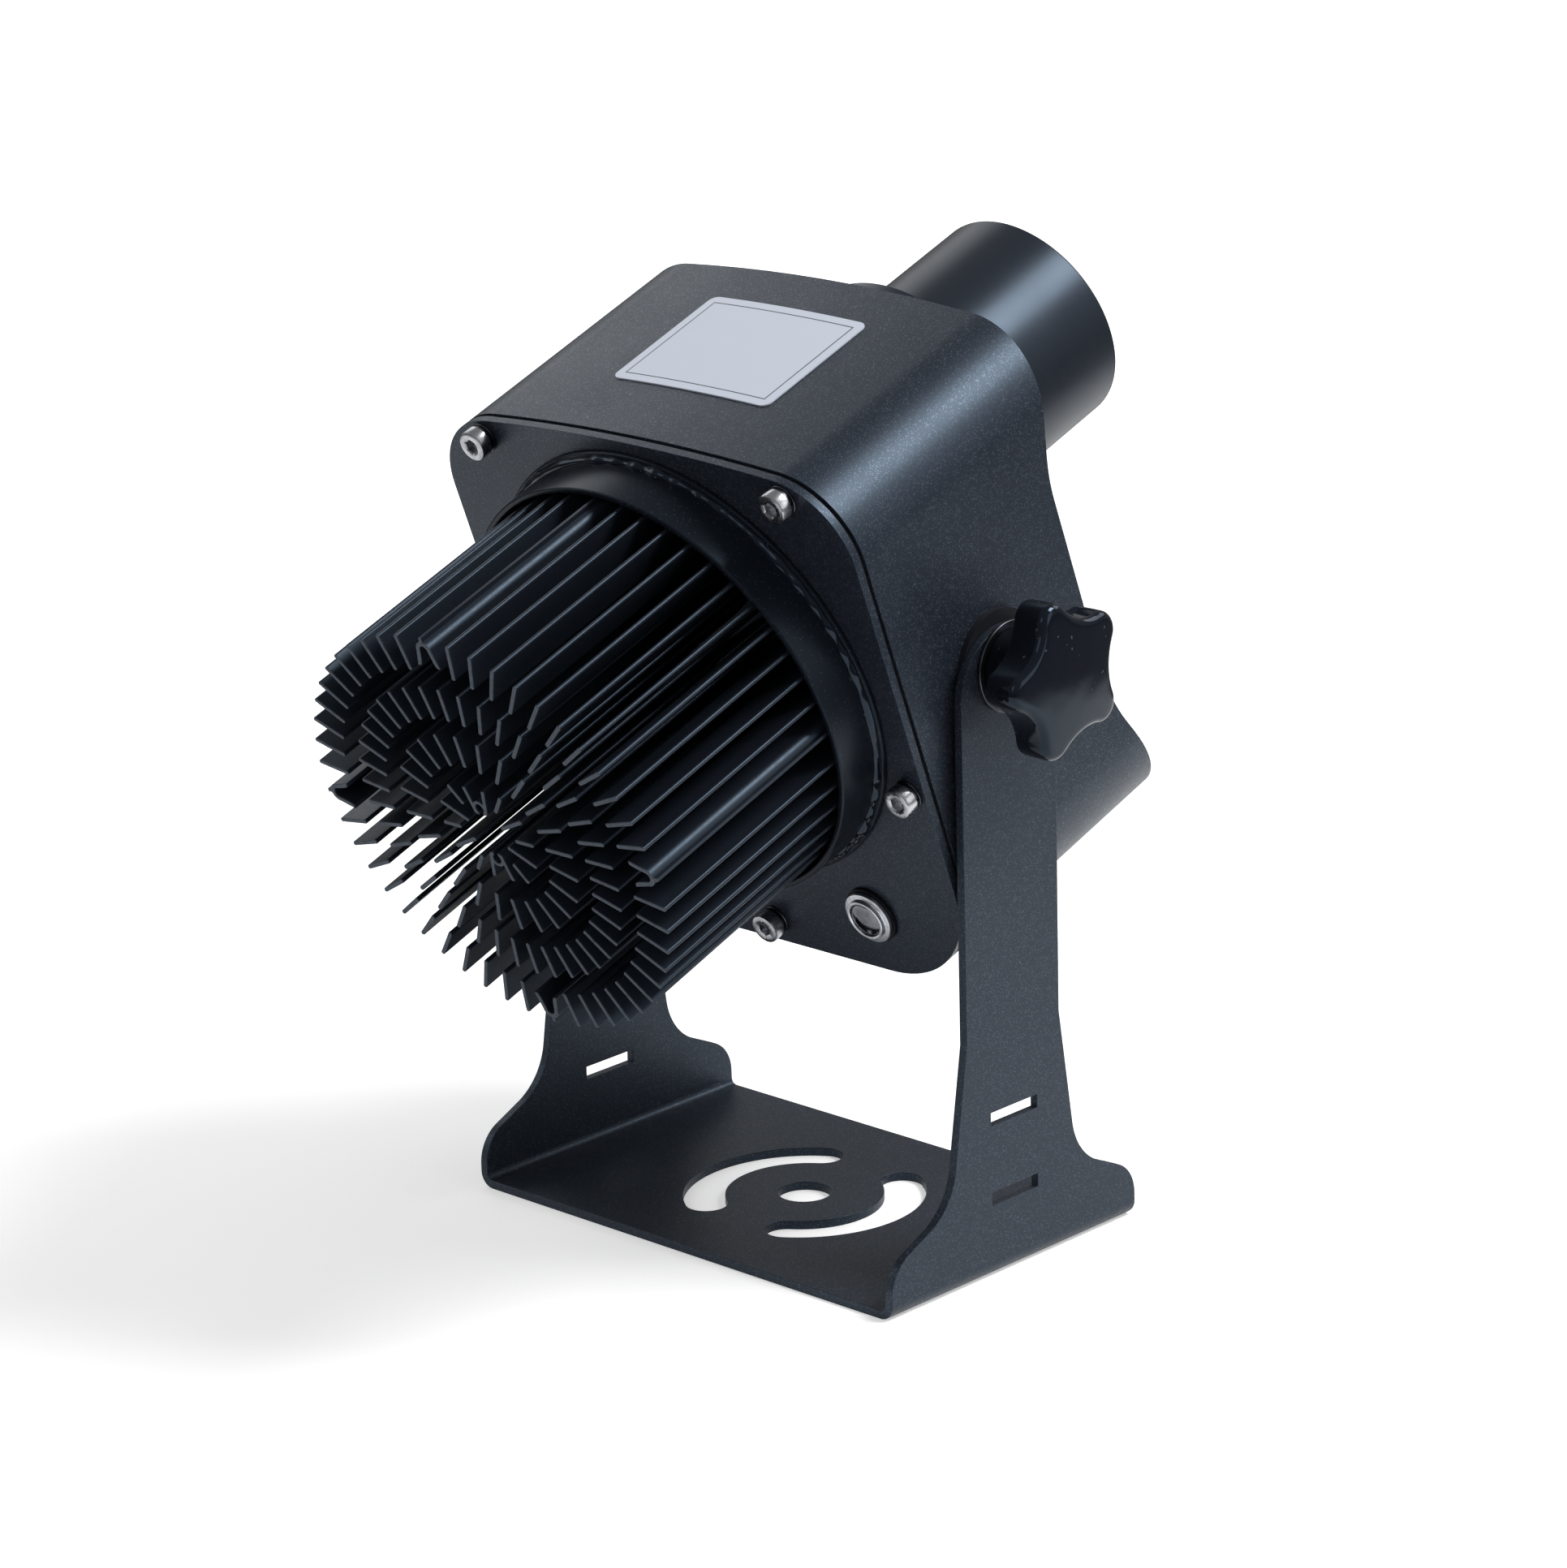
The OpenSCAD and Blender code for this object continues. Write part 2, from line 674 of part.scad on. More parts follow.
// Curved slot about the X axis of the base
module arc_slot() {
    far = 2 * arc_slot_r;
    far_x = far * cos(arc_slot_reach);
    far_y = far * sin(arc_slot_reach);
    end_x = arc_slot_r * cos(arc_slot_reach);
    end_y = arc_slot_r * sin(arc_slot_reach);
    intersection() {
        ring(arc_slot_r + arc_slot_w / 2, arc_slot_r - arc_slot_w / 2);
        polygon([[0, 0], [far_x, far_y], [far, far_y], [far, -far_y], [far_x, -far_y]]);
    }
    for (y = [-end_y, end_y]) translate([end_x, y]) circle(arc_slot_w / 2);
}

module yoke() {
    color(black_coat) difference() {
        intersection() {
            translate([0, base_len / 2, 0]) rotate([90, 0, 0]) linear_extrude(base_len) yoke_front();
            translate([-yoke_w / 2, 0, 0]) rotate([90, 0, 90]) linear_extrude(yoke_w) yoke_side();
        }
        translate([0, 0, -past]) linear_extrude(sheet_t + 2 * past) {
            circle(base_hole_d / 2);
            arc_slot();
            mirror([1, 0]) arc_slot();
        }
        translate([-yoke_w / 2 - past, 0, pivot_z]) rotate([0, 90, 0])
            cylinder(r = stud_hole_r, h = yoke_w + 2 * past);
        for (z = [tie_slot_z, tie_slot_z + tie_slot_pitch])
            translate([0, 0, z]) cube([yoke_w + 2 * past, tie_slot_w, tie_slot_h], center = true);
    }
}

// Head casing: a tube of the head's outline with a hollowed front edge
module casing() {
    ear_y = driver_mid - driver_ear / 2;
    pad_z = floor_z - wall / 2;
    hole_z = driver_z + driver_ear_t - driver_screw_len - past / 2;
    boss_x = casing_x - insert_len / 2 - wall / 4;
    boss_end = rear_boss_len - casing_back;
    color(black_coat) in_head() difference() {
        union() {
            difference() {
                slab(-casing_back, front_edge[len(front_edge) - 1][0]) difference() {
                    head_outline();
                    head_outline(wall);
                }
                translate([-body_w, 0, 0]) rotate([90, 0, 90]) linear_extrude(2 * body_w)
                    polygon(concat(front_edge, [[2 * body_w, -2 * body_w], [2 * body_w, 2 * body_w]]));
            }
            slab(ledge_back, ledge_front) difference() {
                head_outline(wall / 2);
                head_outline(wall + ledge_w);
            }
            slab(-casing_back, boss_end) intersection() {
                at(rear_screw_places) circle(rear_boss_r);
                head_outline(wall / 2);
            }
            for (side = [-1, 1]) translate([side * boss_x, 0, 0]) rotate([0, 90, 0])
                cylinder(r = boss_r, h = insert_len - wall / 2, center = true);
            for (side = [-1, 1]) translate([side * ear_x - driver_ear / 2, ear_y, pad_z])
                cube([driver_ear, driver_ear, driver_pad_h + wall / 2]);
        }
        slab(-casing_back - past, boss_end + past) at(rear_screw_places) circle(M4[0] + thread_gap);
        slab(ledge_back - past, ledge_front + past) at(front_screw_places) circle(M3[0] + thread_gap);
        translate([-body_w, 0, 0]) rotate([0, 90, 0]) cylinder(r = insert_r + fit_gap, h = 2 * body_w);
        for (side = [-1, 1]) translate([side * ear_x, driver_mid, hole_z])
            cylinder(r = M3[0] + thread_gap, h = driver_screw_len + past);
    }
}

// Thin label that follows the crowned top
module label_plate() {
    reach = asin(label_w / 2 / crown_r) + 1;
    color(bright_aluminium) in_head() intersection() {
        slab(label_y - label_len, label_y + label_len) polygon(concat(
            arc([0, crown_z], crown_r + label_t, 90 - reach, 90 + reach),
            arc([0, crown_z], crown_r, 90 + reach, 90 - reach)
        ));
        translate([0, label_y, body_top - body_r / 2]) linear_extrude(body_r)
            rounded_plate(label_w, label_len, label_r);
    }
}

module rear_plate() {
    color(black_coat) in_head() slab(plate_out, plate_in) difference() {
        head_outline();
        translate([0, sink_z]) circle(collar_in_r);
        at(rear_screw_places) circle(M4[0] + pass_gap);
        translate([entry_x, -entry_z]) circle(button_thread_r + fit_gap);
        translate([-entry_x, -entry_z]) circle(gland_thread_r + fit_gap);
    }
}

module rear_gasket() {
    color(black_rubber) in_head() slab(plate_in, -casing_back) difference() {
        union() {
            difference() {
                head_outline(gasket_inset);
                head_outline(wall + gasket_inset);
            }
            intersection() {
                at(rear_screw_places) circle(rear_boss_r);
                head_outline(gasket_inset);
            }
        }
        at(rear_screw_places) circle(M4[0] + pass_gap);
    }
}

module rear_screws() {
    under_head = plate_out - flat_washer[1] - spring_washer[1];
    color(steel) in_head() head_screws(rear_screw_places, M4, rear_screw_len, under_head, true);
}

module spring_washers() {
    out = plate_out - flat_washer[1];
    color(steel) in_head() slab(out - spring_washer[1], out) at(rear_screw_places) difference() {
        ring(spring_washer[0], M4[0] + pass_gap);
        translate([0, -spring_slit / 2]) square([spring_washer[0] + past, spring_slit]);
    }
}

module flat_washers() {
    color(steel) in_head() slab(plate_out - flat_washer[1], plate_out)
        at(rear_screw_places) ring(flat_washer[0], M4[0] + pass_gap);
}

// Blade from the middle outwards, at an angle from the top
module blade(outer, len, angle) {
    rotate(-angle) translate([-blade_t / 2, outer - len]) square([blade_t, len]);
}

// Outer screw port: an open ring with two splayed legs and a nib, drawn at the top of the heat sink
module screw_port() {
    leg_root = 0.6;
    leg_foot = 2.3;
    leg_t = 0.95;
    leg_low = 3.8;
    nib_w = 0.8;
    translate([0, port_ring_r]) difference() {
        union() {
            circle(port_r);
            for (side = [0, 1]) mirror([side, 0]) polygon([
                [leg_root, 0], [port_r, 0], [leg_foot + leg_t, -leg_low], [leg_foot, -leg_low],
            ]);
            translate([-nib_w / 2, port_r / 2]) square([nib_w, sink_r - port_ring_r - port_r / 2]);
        }
        circle(port_hole_r);
        polygon([
            [-port_hole_r, 0], [port_hole_r, 0], [leg_foot, -leg_low - past], [-leg_foot, -leg_low - past],
        ]);
    }
}

// Inner screw port: two slanted legs with an open ring between them
module core_port() {
    half_leg = [0.475, 0];
    leg_top = [2.8, 11.3];
    leg_low = [1.4, 5.1];
    ring_r = 1.9;
    slit_w = 1.3;
    difference() {
        union() {
            for (side = [0, 1]) mirror([side, 0]) polygon([
                leg_top - half_leg, leg_top + half_leg, leg_low + half_leg, leg_low - half_leg,
            ]);
            translate([0, core_port_r]) circle(ring_r);
        }
        translate([0, core_port_r]) circle(port_hole_r);
        translate([-slit_w / 2, 0]) square([slit_w, core_port_r]);
    }
}

// All blades of the heat sink, seen from the back
module sink_section() {
    port_clear = 9;
    long_blade = 8;
    long_angles = [64.5, 116];
    short_blade = 5.3;
    short_angles = [36, 90, 145];
    pitch = (90 - 2 * port_clear) / (outer_blades - 1);
    for (quarter = [0:90:270]) {
        rotate(quarter) screw_port();
        for (k = [0:outer_blades - 1]) blade(sink_r, outer_blade_len, quarter + port_clear + k * pitch);
    }
    for (k = [1:second_blades]) blade(second_r, second_blade_len, k * 360 / second_blades);
    for (k = [1:third_blades]) blade(third_r, third_blade_len, k * 360 / third_blades);
    for (side = [0, 1]) mirror([side, 0]) {
        for (angle = short_angles) blade(core_r, short_blade, angle);
        for (angle = long_angles) blade(core_r, long_blade, angle);
    }
    core_port();
    rotate(180) core_port();
}

module heat_sink() {
    color(dark_aluminium) in_head() difference() {
        union() {
            slab(sink_front - sink_base_t, sink_front) translate([0, sink_z]) circle(sink_r);
            slab(sink_front - sink_len, sink_front - sink_base_t / 2) translate([0, sink_z]) sink_section();
        }
        slab(sink_front - inner_screw_len + bulkhead_t - past, sink_front + past) at(sink_screw_places)
            circle(M4[0] + thread_gap);
        slab(sink_front - board_screw_len + board_t - past, sink_front + past) at(board_screw_places)
            circle(M2[0] + thread_gap);
    }
}

module heat_sink_collar() {
    color(black_coat) in_head() translate([0, 0, sink_z]) {
        slab(plate_out - collar_h, plate_out) ring(collar_out_r, collar_in_r);
        slab(plate_out - collar_foot_t, plate_out)
            ring(collar_out_r + collar_foot_w, collar_out_r - collar_t / 2);
    }
}

// Bead of sealant in the corner between collar and foot ring
module sealant_bead() {
    foot_face = plate_out - collar_foot_t;
    color(black_rubber) in_head() turned(0, sink_z)
        translate([collar_out_r, foot_face]) polygon([[0, 0], [bead_r, 0], [0, -bead_r]]);
}

module bulkhead() {
    w = 2 * (spacer_x + bulkhead_rim);
    h = spacer_top_z + spacer_low_z + 2 * bulkhead_rim;
    color(steel) in_head() slab(sink_front, bulkhead_front) difference() {
        translate([0, (spacer_top_z - spacer_low_z) / 2]) rounded_plate(w, h, bulkhead_rim);
        translate([0, lens_z]) circle(board_hole_r);
        at(spacer_places) circle(M3[0] + pass_gap);
        at(sink_screw_places) circle(M4[0] + pass_gap);
        at(tube_screw_places) circle(M3[0] + thread_gap);
    }
}

module spacers() {
    color(steel) in_head() slab(plate_in, sink_front) at(spacer_places) ring(spacer_r, M3[0] + thread_gap);
}

module spacer_screws() {
    color(steel) in_head() head_screws(spacer_places, M3, inner_screw_len, bulkhead_front);
}

module heat_sink_screws() {
    color(steel) in_head() head_screws(sink_screw_places, M4, inner_screw_len, bulkhead_front);
}

module led_board() {
    color(board_green) in_head() slab(sink_front, sink_front + board_t) difference() {
        translate([0, lens_z]) circle(board_r);
        at(board_screw_places) circle(M2[0] + pass_gap);
    }
}

module led_emitter() {
    color("#e8c84a") in_head() slab(sink_front + board_t, sink_front + board_t + emitter_h)
        translate([0, lens_z]) circle(emitter_r);
}

module led_screws() {
    color(steel) in_head() head_screws(board_screw_places, M2, board_screw_len, sink_front + board_t);
}

// Tube with a screwed flange at its foot and a shoulder for the first condenser lens
module optics_tube() {
    color(dark_aluminium) in_head() difference() {
        union() {
            slab(bulkhead_front, bulkhead_front + tube_flange_t)
                translate([0, lens_z]) circle(tube_flange_r);
            slab(bulkhead_front, front_plate_in) translate([0, lens_z]) circle(tube_out_r);
        }
        slab(bulkhead_front - past, front_plate_in + past)
            translate([0, lens_z]) circle(tube_r - lens_ring_w);
        slab(condenser_1, front_plate_in + past) translate([0, lens_z]) circle(tube_r);
        slab(bulkhead_front - past, condenser_1) at(tube_screw_places) circle(M3[0] + pass_gap);
    }
}

module optics_tube_screws() {
    len = tube_flange_t + bulkhead_t - fit_gap;
    color(steel) in_head() head_screws(tube_screw_places, M3, len, bulkhead_front + tube_flange_t);
}

module condenser_lenses() {
    color(clear_glass) in_head() {
        lens(tube_r - fit_gap, condenser_edge, condenser_rise, condenser_1);
        lens(tube_r - fit_gap, condenser_edge, condenser_rise, condenser_2);
    }
}

module condenser_spacer() {
    color(dark_aluminium) in_head() turned(0, lens_z)
        band(tube_r - lens_ring_w, tube_r - fit_gap, condenser_1 + condenser_edge, condenser_2);
}

module condenser_ring() {
    color(dark_aluminium) in_head() turned(0, lens_z)
        band(tube_r - lens_ring_w, tube_r - fit_gap, condenser_end, condenser_end + lens_ring_t);
}

// Driver block with two screw ears
module led_driver() {
    color(bright_aluminium) in_head() difference() {
        union() {
            translate([-driver_w / 2, driver_back, driver_z]) cube([driver_w, driver_len, driver_h]);
            translate([-ear_x - driver_ear / 2, driver_mid - driver_ear / 2, driver_z])
                cube([2 * ear_x + driver_ear, driver_ear, driver_ear_t]);
        }
        for (side = [-1, 1]) translate([side * ear_x, driver_mid, driver_z - past])
            cylinder(r = M3[0] + pass_gap, h = driver_ear_t + 2 * past);
    }
}

module driver_screws() {
    color(steel) in_head() for (side = [-1, 1])
        translate([side * ear_x, driver_mid, driver_z + driver_ear_t]) cap_screw(M3, driver_screw_len);
}

module front_plate() {
    color(dark_aluminium) in_head() slab(front_plate_in, front_plate_out) difference() {
        head_outline(wall + front_plate_gap);
        translate([0, lens_z]) circle(tube_r);
        at(front_screw_places) circle(M3[0] + pass_gap);
        at(mount_screw_places) circle(M2[0] + pass_gap);
    }
}

module front_gasket() {
    color(black_rubber) in_head() slab(ledge_front, front_plate_in) difference() {
        head_outline(wall + front_plate_gap);
        head_outline(wall + ledge_w);
        at(front_screw_places) circle(M3[0] + pass_gap);
    }
}

module front_screws() {
    color(steel) in_head() head_screws(front_screw_places, M3, front_screw_len, front_plate_out);
}

// Mount that guides the barrel, screwed on from inside the front plate
module lens_mount() {
    color(dark_aluminium) in_head() difference() {
        turned(0, lens_z) band(mount_bore_r, mount_r, front_plate_out, mount_front);
        slab(front_plate_out - past, front_plate_out + mount_screw_depth) at(mount_screw_places)
            circle(M2[0] + thread_gap);
    }
}

module lens_mount_screws() {
    color(steel) in_head()
        head_screws(mount_screw_places, M2, front_plate_t + mount_screw_depth - past, front_plate_in, true);
}

module gobo_holder() {
    color(dark_aluminium) in_head() turned(0, lens_z) difference() {
        band(gobo_window_d / 2, mount_bore_r - fit_gap, front_plate_out, holder_front);
        band(0, gobo_d / 2 + fit_gap, gobo_back, holder_front + past);
    }
}

module gobo() {
    color(clear_glass) in_head() slab(gobo_back, gobo_back + gobo_t)
        translate([0, lens_z]) circle(gobo_d / 2);
}

module gobo_ring() {
    color(steel) in_head() turned(0, lens_z)
        band((gobo_d + gobo_window_d) / 4, gobo_d / 2, gobo_back + gobo_t, holder_front);
}

// Barrel with a groove for the sealing ring and a shoulder for the rear lens
module lens_barrel() {
    groove_y = barrel_back + seal_y;
    half_groove = seal_t / 2 + fit_gap;
    color(dark_aluminium) in_head() turned(0, lens_z) difference() {
        polygon([
            [shoulder_r, barrel_back], [barrel_r, barrel_back], [barrel_r, barrel_front - barrel_chamfer],
            [barrel_r - barrel_chamfer, barrel_front], [shoulder_r, barrel_front],
        ]);
        band(0, barrel_bore_r, rear_lens_back, barrel_front + past);
        band(barrel_r - seal_t - fit_gap, barrel_r + past, groove_y - half_groove, groove_y + half_groove);
    }
}

module focus_seal() {
    color(black_rubber) in_head() turned(0, lens_z)
        translate([barrel_r - seal_t / 2, barrel_back + seal_y]) circle(seal_t / 2);
}

module rear_lens() {
    color(clear_glass) in_head() lens(barrel_bore_r - fit_gap, lens_edge, lens_rise, rear_lens_back);
}

module barrel_spacer() {
    color(dark_aluminium) in_head() turned(0, lens_z)
        band(shoulder_r, barrel_bore_r - fit_gap, rear_lens_back + lens_edge, front_lens_back);
}

module front_lens() {
    color(clear_glass) in_head() lens(barrel_bore_r - fit_gap, lens_edge, lens_rise, front_lens_back);
}

module front_lens_ring() {
    color(dark_aluminium) in_head() turned(0, lens_z)
        band(shoulder_r, barrel_bore_r - fit_gap, front_lens_back + lens_edge, barrel_front - lens_recess);
}

// Bezel with a raised rim, a stepped bore for the cap and a threaded barrel through the plate
module button_bezel() {
    color(steel) in_head() turned(entry_x, -entry_z) difference() {
        union() {
            band(0, button_thread_r, button_face_y, button_back_y);
            band(0, button_flange_r, button_face_y, button_flange_y);
            band(0, button_rim_r, button_rim_y, button_flange_y);
        }
        band(0, button_bore_r, button_rim_y - past, button_floor_y);
        band(0, button_stem_r + fit_gap, button_floor_y - past, button_back_y + past);
    }
}

module button_seal() {
    color(black_rubber) in_head() turned(entry_x, -entry_z)
        band(button_thread_r + fit_gap, button_seal_r, button_flange_y, plate_out);
}

module button_nut() {
    flats = 13;
    color(steel) in_head() slab(plate_in, plate_in + inner_nut_t)
        translate([entry_x, -entry_z]) difference() {
            hexagon(flats);
            circle(button_thread_r + fit_gap);
        }
}

// Contact block behind the button, with two solder blades
module button_contacts() {
    block_h = 3;
    blade_h = 3;
    blade_w = 2;
    blade_mid = button_back_y + block_h + blade_h / 2;
    color("#6e5a3c") in_head() {
        slab(button_back_y, button_back_y + block_h) translate([entry_x, -entry_z]) circle(button_thread_r);
        for (side = [-1, 1]) translate([entry_x + side * blade_w, blade_mid, -entry_z])
            cube([0.5, blade_h + past, blade_w], center = true);
    }
}

// Domed cap with a stem that reaches through the bezel
module button_cap() {
    out = button_rim_y - button_cap_out;
    dome_r = 4 * button_cap_r;
    color(steel) in_head() intersection() {
        turned(entry_x, -entry_z) {
            band(0, button_cap_r, out, button_floor_y - button_travel - fit_gap);
            band(0, button_stem_r, out, button_back_y - button_travel - fit_gap);
        }
        translate([entry_x, out + dome_r, -entry_z]) sphere(dome_r, $fn = 96);
    }
}

module gland_body() {
    color(black_rubber) in_head() translate([-entry_x, 0, -entry_z]) difference() {
        union() {
            slab(gland_face_y, plate_out) hexagon(gland_flats);
            slab(gland_face_y, plate_in + 2 * inner_nut_t) circle(gland_thread_r);
        }
        slab(gland_face_y - past, plate_in + 2 * inner_nut_t + past) circle(gland_seal_r);
    }
}

module gland_nut() {
    color(black_rubber) in_head() slab(plate_in, plate_in + inner_nut_t)
        translate([-entry_x, -entry_z]) difference() {
            hexagon(gland_flats);
            circle(gland_thread_r + fit_gap);
        }
}

// Hollow cap that squeezes the rubber insert onto the cable
module gland_cap() {
    shoulder = 3;
    cap_r = gland_flats / 2;
    end_y = gland_face_y - gland_cap_h;
    color(black_rubber) in_head() turned(-entry_x, -entry_z) difference() {
        polygon([
            [0, gland_face_y], [cap_r, gland_face_y], [cap_r, end_y + shoulder],
            [cap_r - shoulder, end_y], [0, end_y],
        ]);
        band(0, gland_bore_r + pass_gap, end_y - past, gland_face_y + past);
        band(0, gland_seal_r + fit_gap, end_y + gland_lip, gland_face_y + past);
    }
}

module gland_seal() {
    color("#3a3a3d") in_head() turned(-entry_x, -entry_z)
        band(gland_bore_r, gland_seal_r, gland_face_y - gland_cap_h + gland_lip, gland_face_y);
}

// Threaded inserts in the casing's side bosses, kept by a flange inside
module pivot_inserts() {
    color(steel) in_head() for (side = [0, 1]) mirror([side, 0, 0]) turned_across() difference() {
        union() {
            band(0, insert_r, insert_in_x - insert_flange_t, casing_x);
            band(0, insert_flange_r, insert_in_x - insert_flange_t, insert_in_x);
        }
        band(0, stud_r + thread_gap, insert_in_x - insert_flange_t - past, casing_x + past);
    }
}

module friction_washers() {
    color(black_rubber) in_head() for (side = [0, 1]) mirror([side, 0, 0]) turned_across()
        band(stud_hole_r, friction_r, casing_x, casing_x + friction_t);
}

// Washer, stud and knob of the right side
module knob_washer() {
    color(steel) in_head() turned_across() band(stud_hole_r, knob_washer_r, yoke_w / 2, knob_x);
}

module stud() {
    color(steel) in_head() turned_across() band(0, stud_r, knob_x - stud_len, knob_x + stud_grip);
}

// Outline of a knob: round tips joined by hollows that are tangent to them
module knob_outline() {
    step = 360 / lobes;
    tip_ring = knob_r - lobe_tip_r;
    reach = lobe_tip_r - hollow_r;
    hollow_ring = (pow(tip_ring, 2) - pow(reach, 2)) / (2 * (tip_ring * cos(step / 2) + reach));
    lean = atan2(hollow_ring * sin(step / 2), hollow_ring * cos(step / 2) - tip_ring);
    polygon([
        for (k = [0:lobes - 1]) let (
            turn = k * step,
            half = turn + step / 2,
            tip = arc(tip_ring * [cos(turn), sin(turn)], lobe_tip_r, turn - lean, turn + lean, 16),
            hollow = arc(
                hollow_ring * [cos(half), sin(half)], hollow_ring - hollow_r,
                turn + lean + 180, turn + step - lean + 180, 14
            )
        ) each concat(tip, [for (m = [1:13]) hollow[m]])
    ]);
}

module knob() {
    lobe_x = knob_x + hub_len;
    color(black_coat) in_head() difference() {
        union() {
            intersection() {
                translate([lobe_x, 0, 0]) rotate([90, 0, 90]) linear_extrude(lobe_t + knob_dome)
                    rotate(lobe_angle) knob_outline();
                translate([knob_face_x + knob_dome - knob_dome_r, 0, 0]) sphere(knob_dome_r, $fn = wide_fn);
            }
            translate([knob_x, 0, 0]) rotate([0, 90, 0]) cylinder(r1 = hub_r, r2 = hub_top_r, h = hub_len);
        }
        translate([knob_x - past, 0, 0]) rotate([0, 90, 0]) cylinder(r = stud_r, h = stud_grip + past);
    }
}

module knob_washer_right() knob_washer();
module knob_washer_left() mirror([1, 0, 0]) knob_washer();
module stud_right() stud();
module stud_left() mirror([1, 0, 0]) stud();
module knob_right() knob();
module knob_left() mirror([1, 0, 0]) knob();

yoke();
casing();
label_plate();
rear_plate();
rear_gasket();
rear_screws();
spring_washers();
flat_washers();
heat_sink();
heat_sink_collar();
sealant_bead();
bulkhead();
spacers();
spacer_screws();
heat_sink_screws();
led_board();
led_emitter();
led_screws();
optics_tube();
optics_tube_screws();
condenser_lenses();
condenser_spacer();
condenser_ring();
led_driver();
driver_screws();
front_plate();
front_gasket();
front_screws();
lens_mount();
lens_mount_screws();
gobo_holder();
gobo();
gobo_ring();
lens_barrel();
focus_seal();
rear_lens();
barrel_spacer();
front_lens();
front_lens_ring();
button_bezel();
button_seal();
button_nut();
button_contacts();
button_cap();
gland_body();
gland_nut();
gland_cap();
gland_seal();
pivot_inserts();
friction_washers();
knob_washer_right();
knob_washer_left();
stud_right();
stud_left();
knob_right();
knob_left();
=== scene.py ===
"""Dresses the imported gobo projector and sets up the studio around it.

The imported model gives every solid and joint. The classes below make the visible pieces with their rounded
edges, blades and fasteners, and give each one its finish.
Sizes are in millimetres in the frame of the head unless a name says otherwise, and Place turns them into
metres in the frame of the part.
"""

from __future__ import annotations

import json
import logging
import math
import random
from dataclasses import dataclass, field
from enum import Enum
from typing import Callable, Sequence

import bmesh
import bpy
from mathutils import Matrix, Vector

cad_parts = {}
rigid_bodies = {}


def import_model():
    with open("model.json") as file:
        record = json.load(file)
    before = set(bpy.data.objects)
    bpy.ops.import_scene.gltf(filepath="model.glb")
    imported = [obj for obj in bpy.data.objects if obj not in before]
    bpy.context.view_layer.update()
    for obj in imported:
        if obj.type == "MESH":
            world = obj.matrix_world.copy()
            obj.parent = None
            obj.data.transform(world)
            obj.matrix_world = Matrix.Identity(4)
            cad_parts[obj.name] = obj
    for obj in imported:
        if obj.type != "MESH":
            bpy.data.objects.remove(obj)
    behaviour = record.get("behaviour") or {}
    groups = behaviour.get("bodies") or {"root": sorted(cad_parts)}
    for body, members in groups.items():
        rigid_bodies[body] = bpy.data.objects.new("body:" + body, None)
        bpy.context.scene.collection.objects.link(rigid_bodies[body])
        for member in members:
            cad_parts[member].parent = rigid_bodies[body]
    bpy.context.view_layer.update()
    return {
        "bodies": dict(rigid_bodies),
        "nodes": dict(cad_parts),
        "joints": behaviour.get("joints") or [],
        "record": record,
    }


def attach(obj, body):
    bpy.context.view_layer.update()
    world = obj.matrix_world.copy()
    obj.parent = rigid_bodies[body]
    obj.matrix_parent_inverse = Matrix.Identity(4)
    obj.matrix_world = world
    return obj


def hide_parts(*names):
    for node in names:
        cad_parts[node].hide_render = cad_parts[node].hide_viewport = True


LOG = logging.getLogger("gobo_projector")
# One millimetre in metres
MM = 0.001
# Vertices closer than this, in metres, are one
MERGE_DISTANCE = 2e-6
# Degrees between faces above which an edge stays sharp
SHARP_ANGLE = 35.0
# Radius of the hole that a turned shape leaves on its axis, before it is filled
AXIS_R = 0.01
# Tint of the gloss on black surfaces
COOL = (0.56, 0.76, 1.0)
Ring = list[Vector]
Outline = list[tuple[float, float]]


class Side(Enum):
    """The two sides of the yoke, by the sign of X."""

    RIGHT = 1
    LEFT = -1


def maths(operation: str, turned: bool = False) -> Callable[..., Value]:
    """Makes an operator of Value that adds one Math node.

    Args:
        operation: The node's operation.
        turned: Whether the other number comes first.

    Returns:
        The method.
    """

    def operator(self: Value, other: Value | float | str = 0.0) -> Value:
        """Result of the operation on this number and another, or the tree's input of that name."""
        pair = {0: other, 1: self} if turned else {0: self, 1: other}
        return Value(self.tree, self.tree.add("ShaderNodeMath", {"operation": operation}, pair).outputs[0])

    return operator


class Value:
    """A number in a node tree that takes part in ordinary expressions."""

    __add__ = __radd__ = maths("ADD")
    __sub__ = maths("SUBTRACT")
    __rsub__ = maths("SUBTRACT", turned=True)
    __mul__ = __rmul__ = maths("MULTIPLY")
    __truediv__ = maths("DIVIDE")
    __mod__ = maths("MODULO")
    __gt__ = maths("GREATER_THAN")
    __lt__ = maths("LESS_THAN")
    __abs__ = maths("ABSOLUTE")
    __floor__ = maths("FLOOR")
    largest = maths("MAXIMUM")

    def __init__(self, tree: Nodes, socket: bpy.types.NodeSocket) -> None:
        """Wraps a socket.

        Args:
            tree: The tree that new nodes go to.
            socket: The output that holds the number.
        """
        self.tree = tree
        self.socket = socket

    def ramp(self, low: float, high: float) -> Value:
        """Zero at one bound and one at the other, held beyond them.

        Args:
            low: Number at which the result is zero.
            high: Number at which the result is one.

        Returns:
            The clamped share.
        """
        node = self.tree.add(
            "ShaderNodeMapRange", {"clamp": True}, {"Value": self, "From Min": low, "From Max": high}
        )
        return Value(self.tree, node.outputs["Result"])


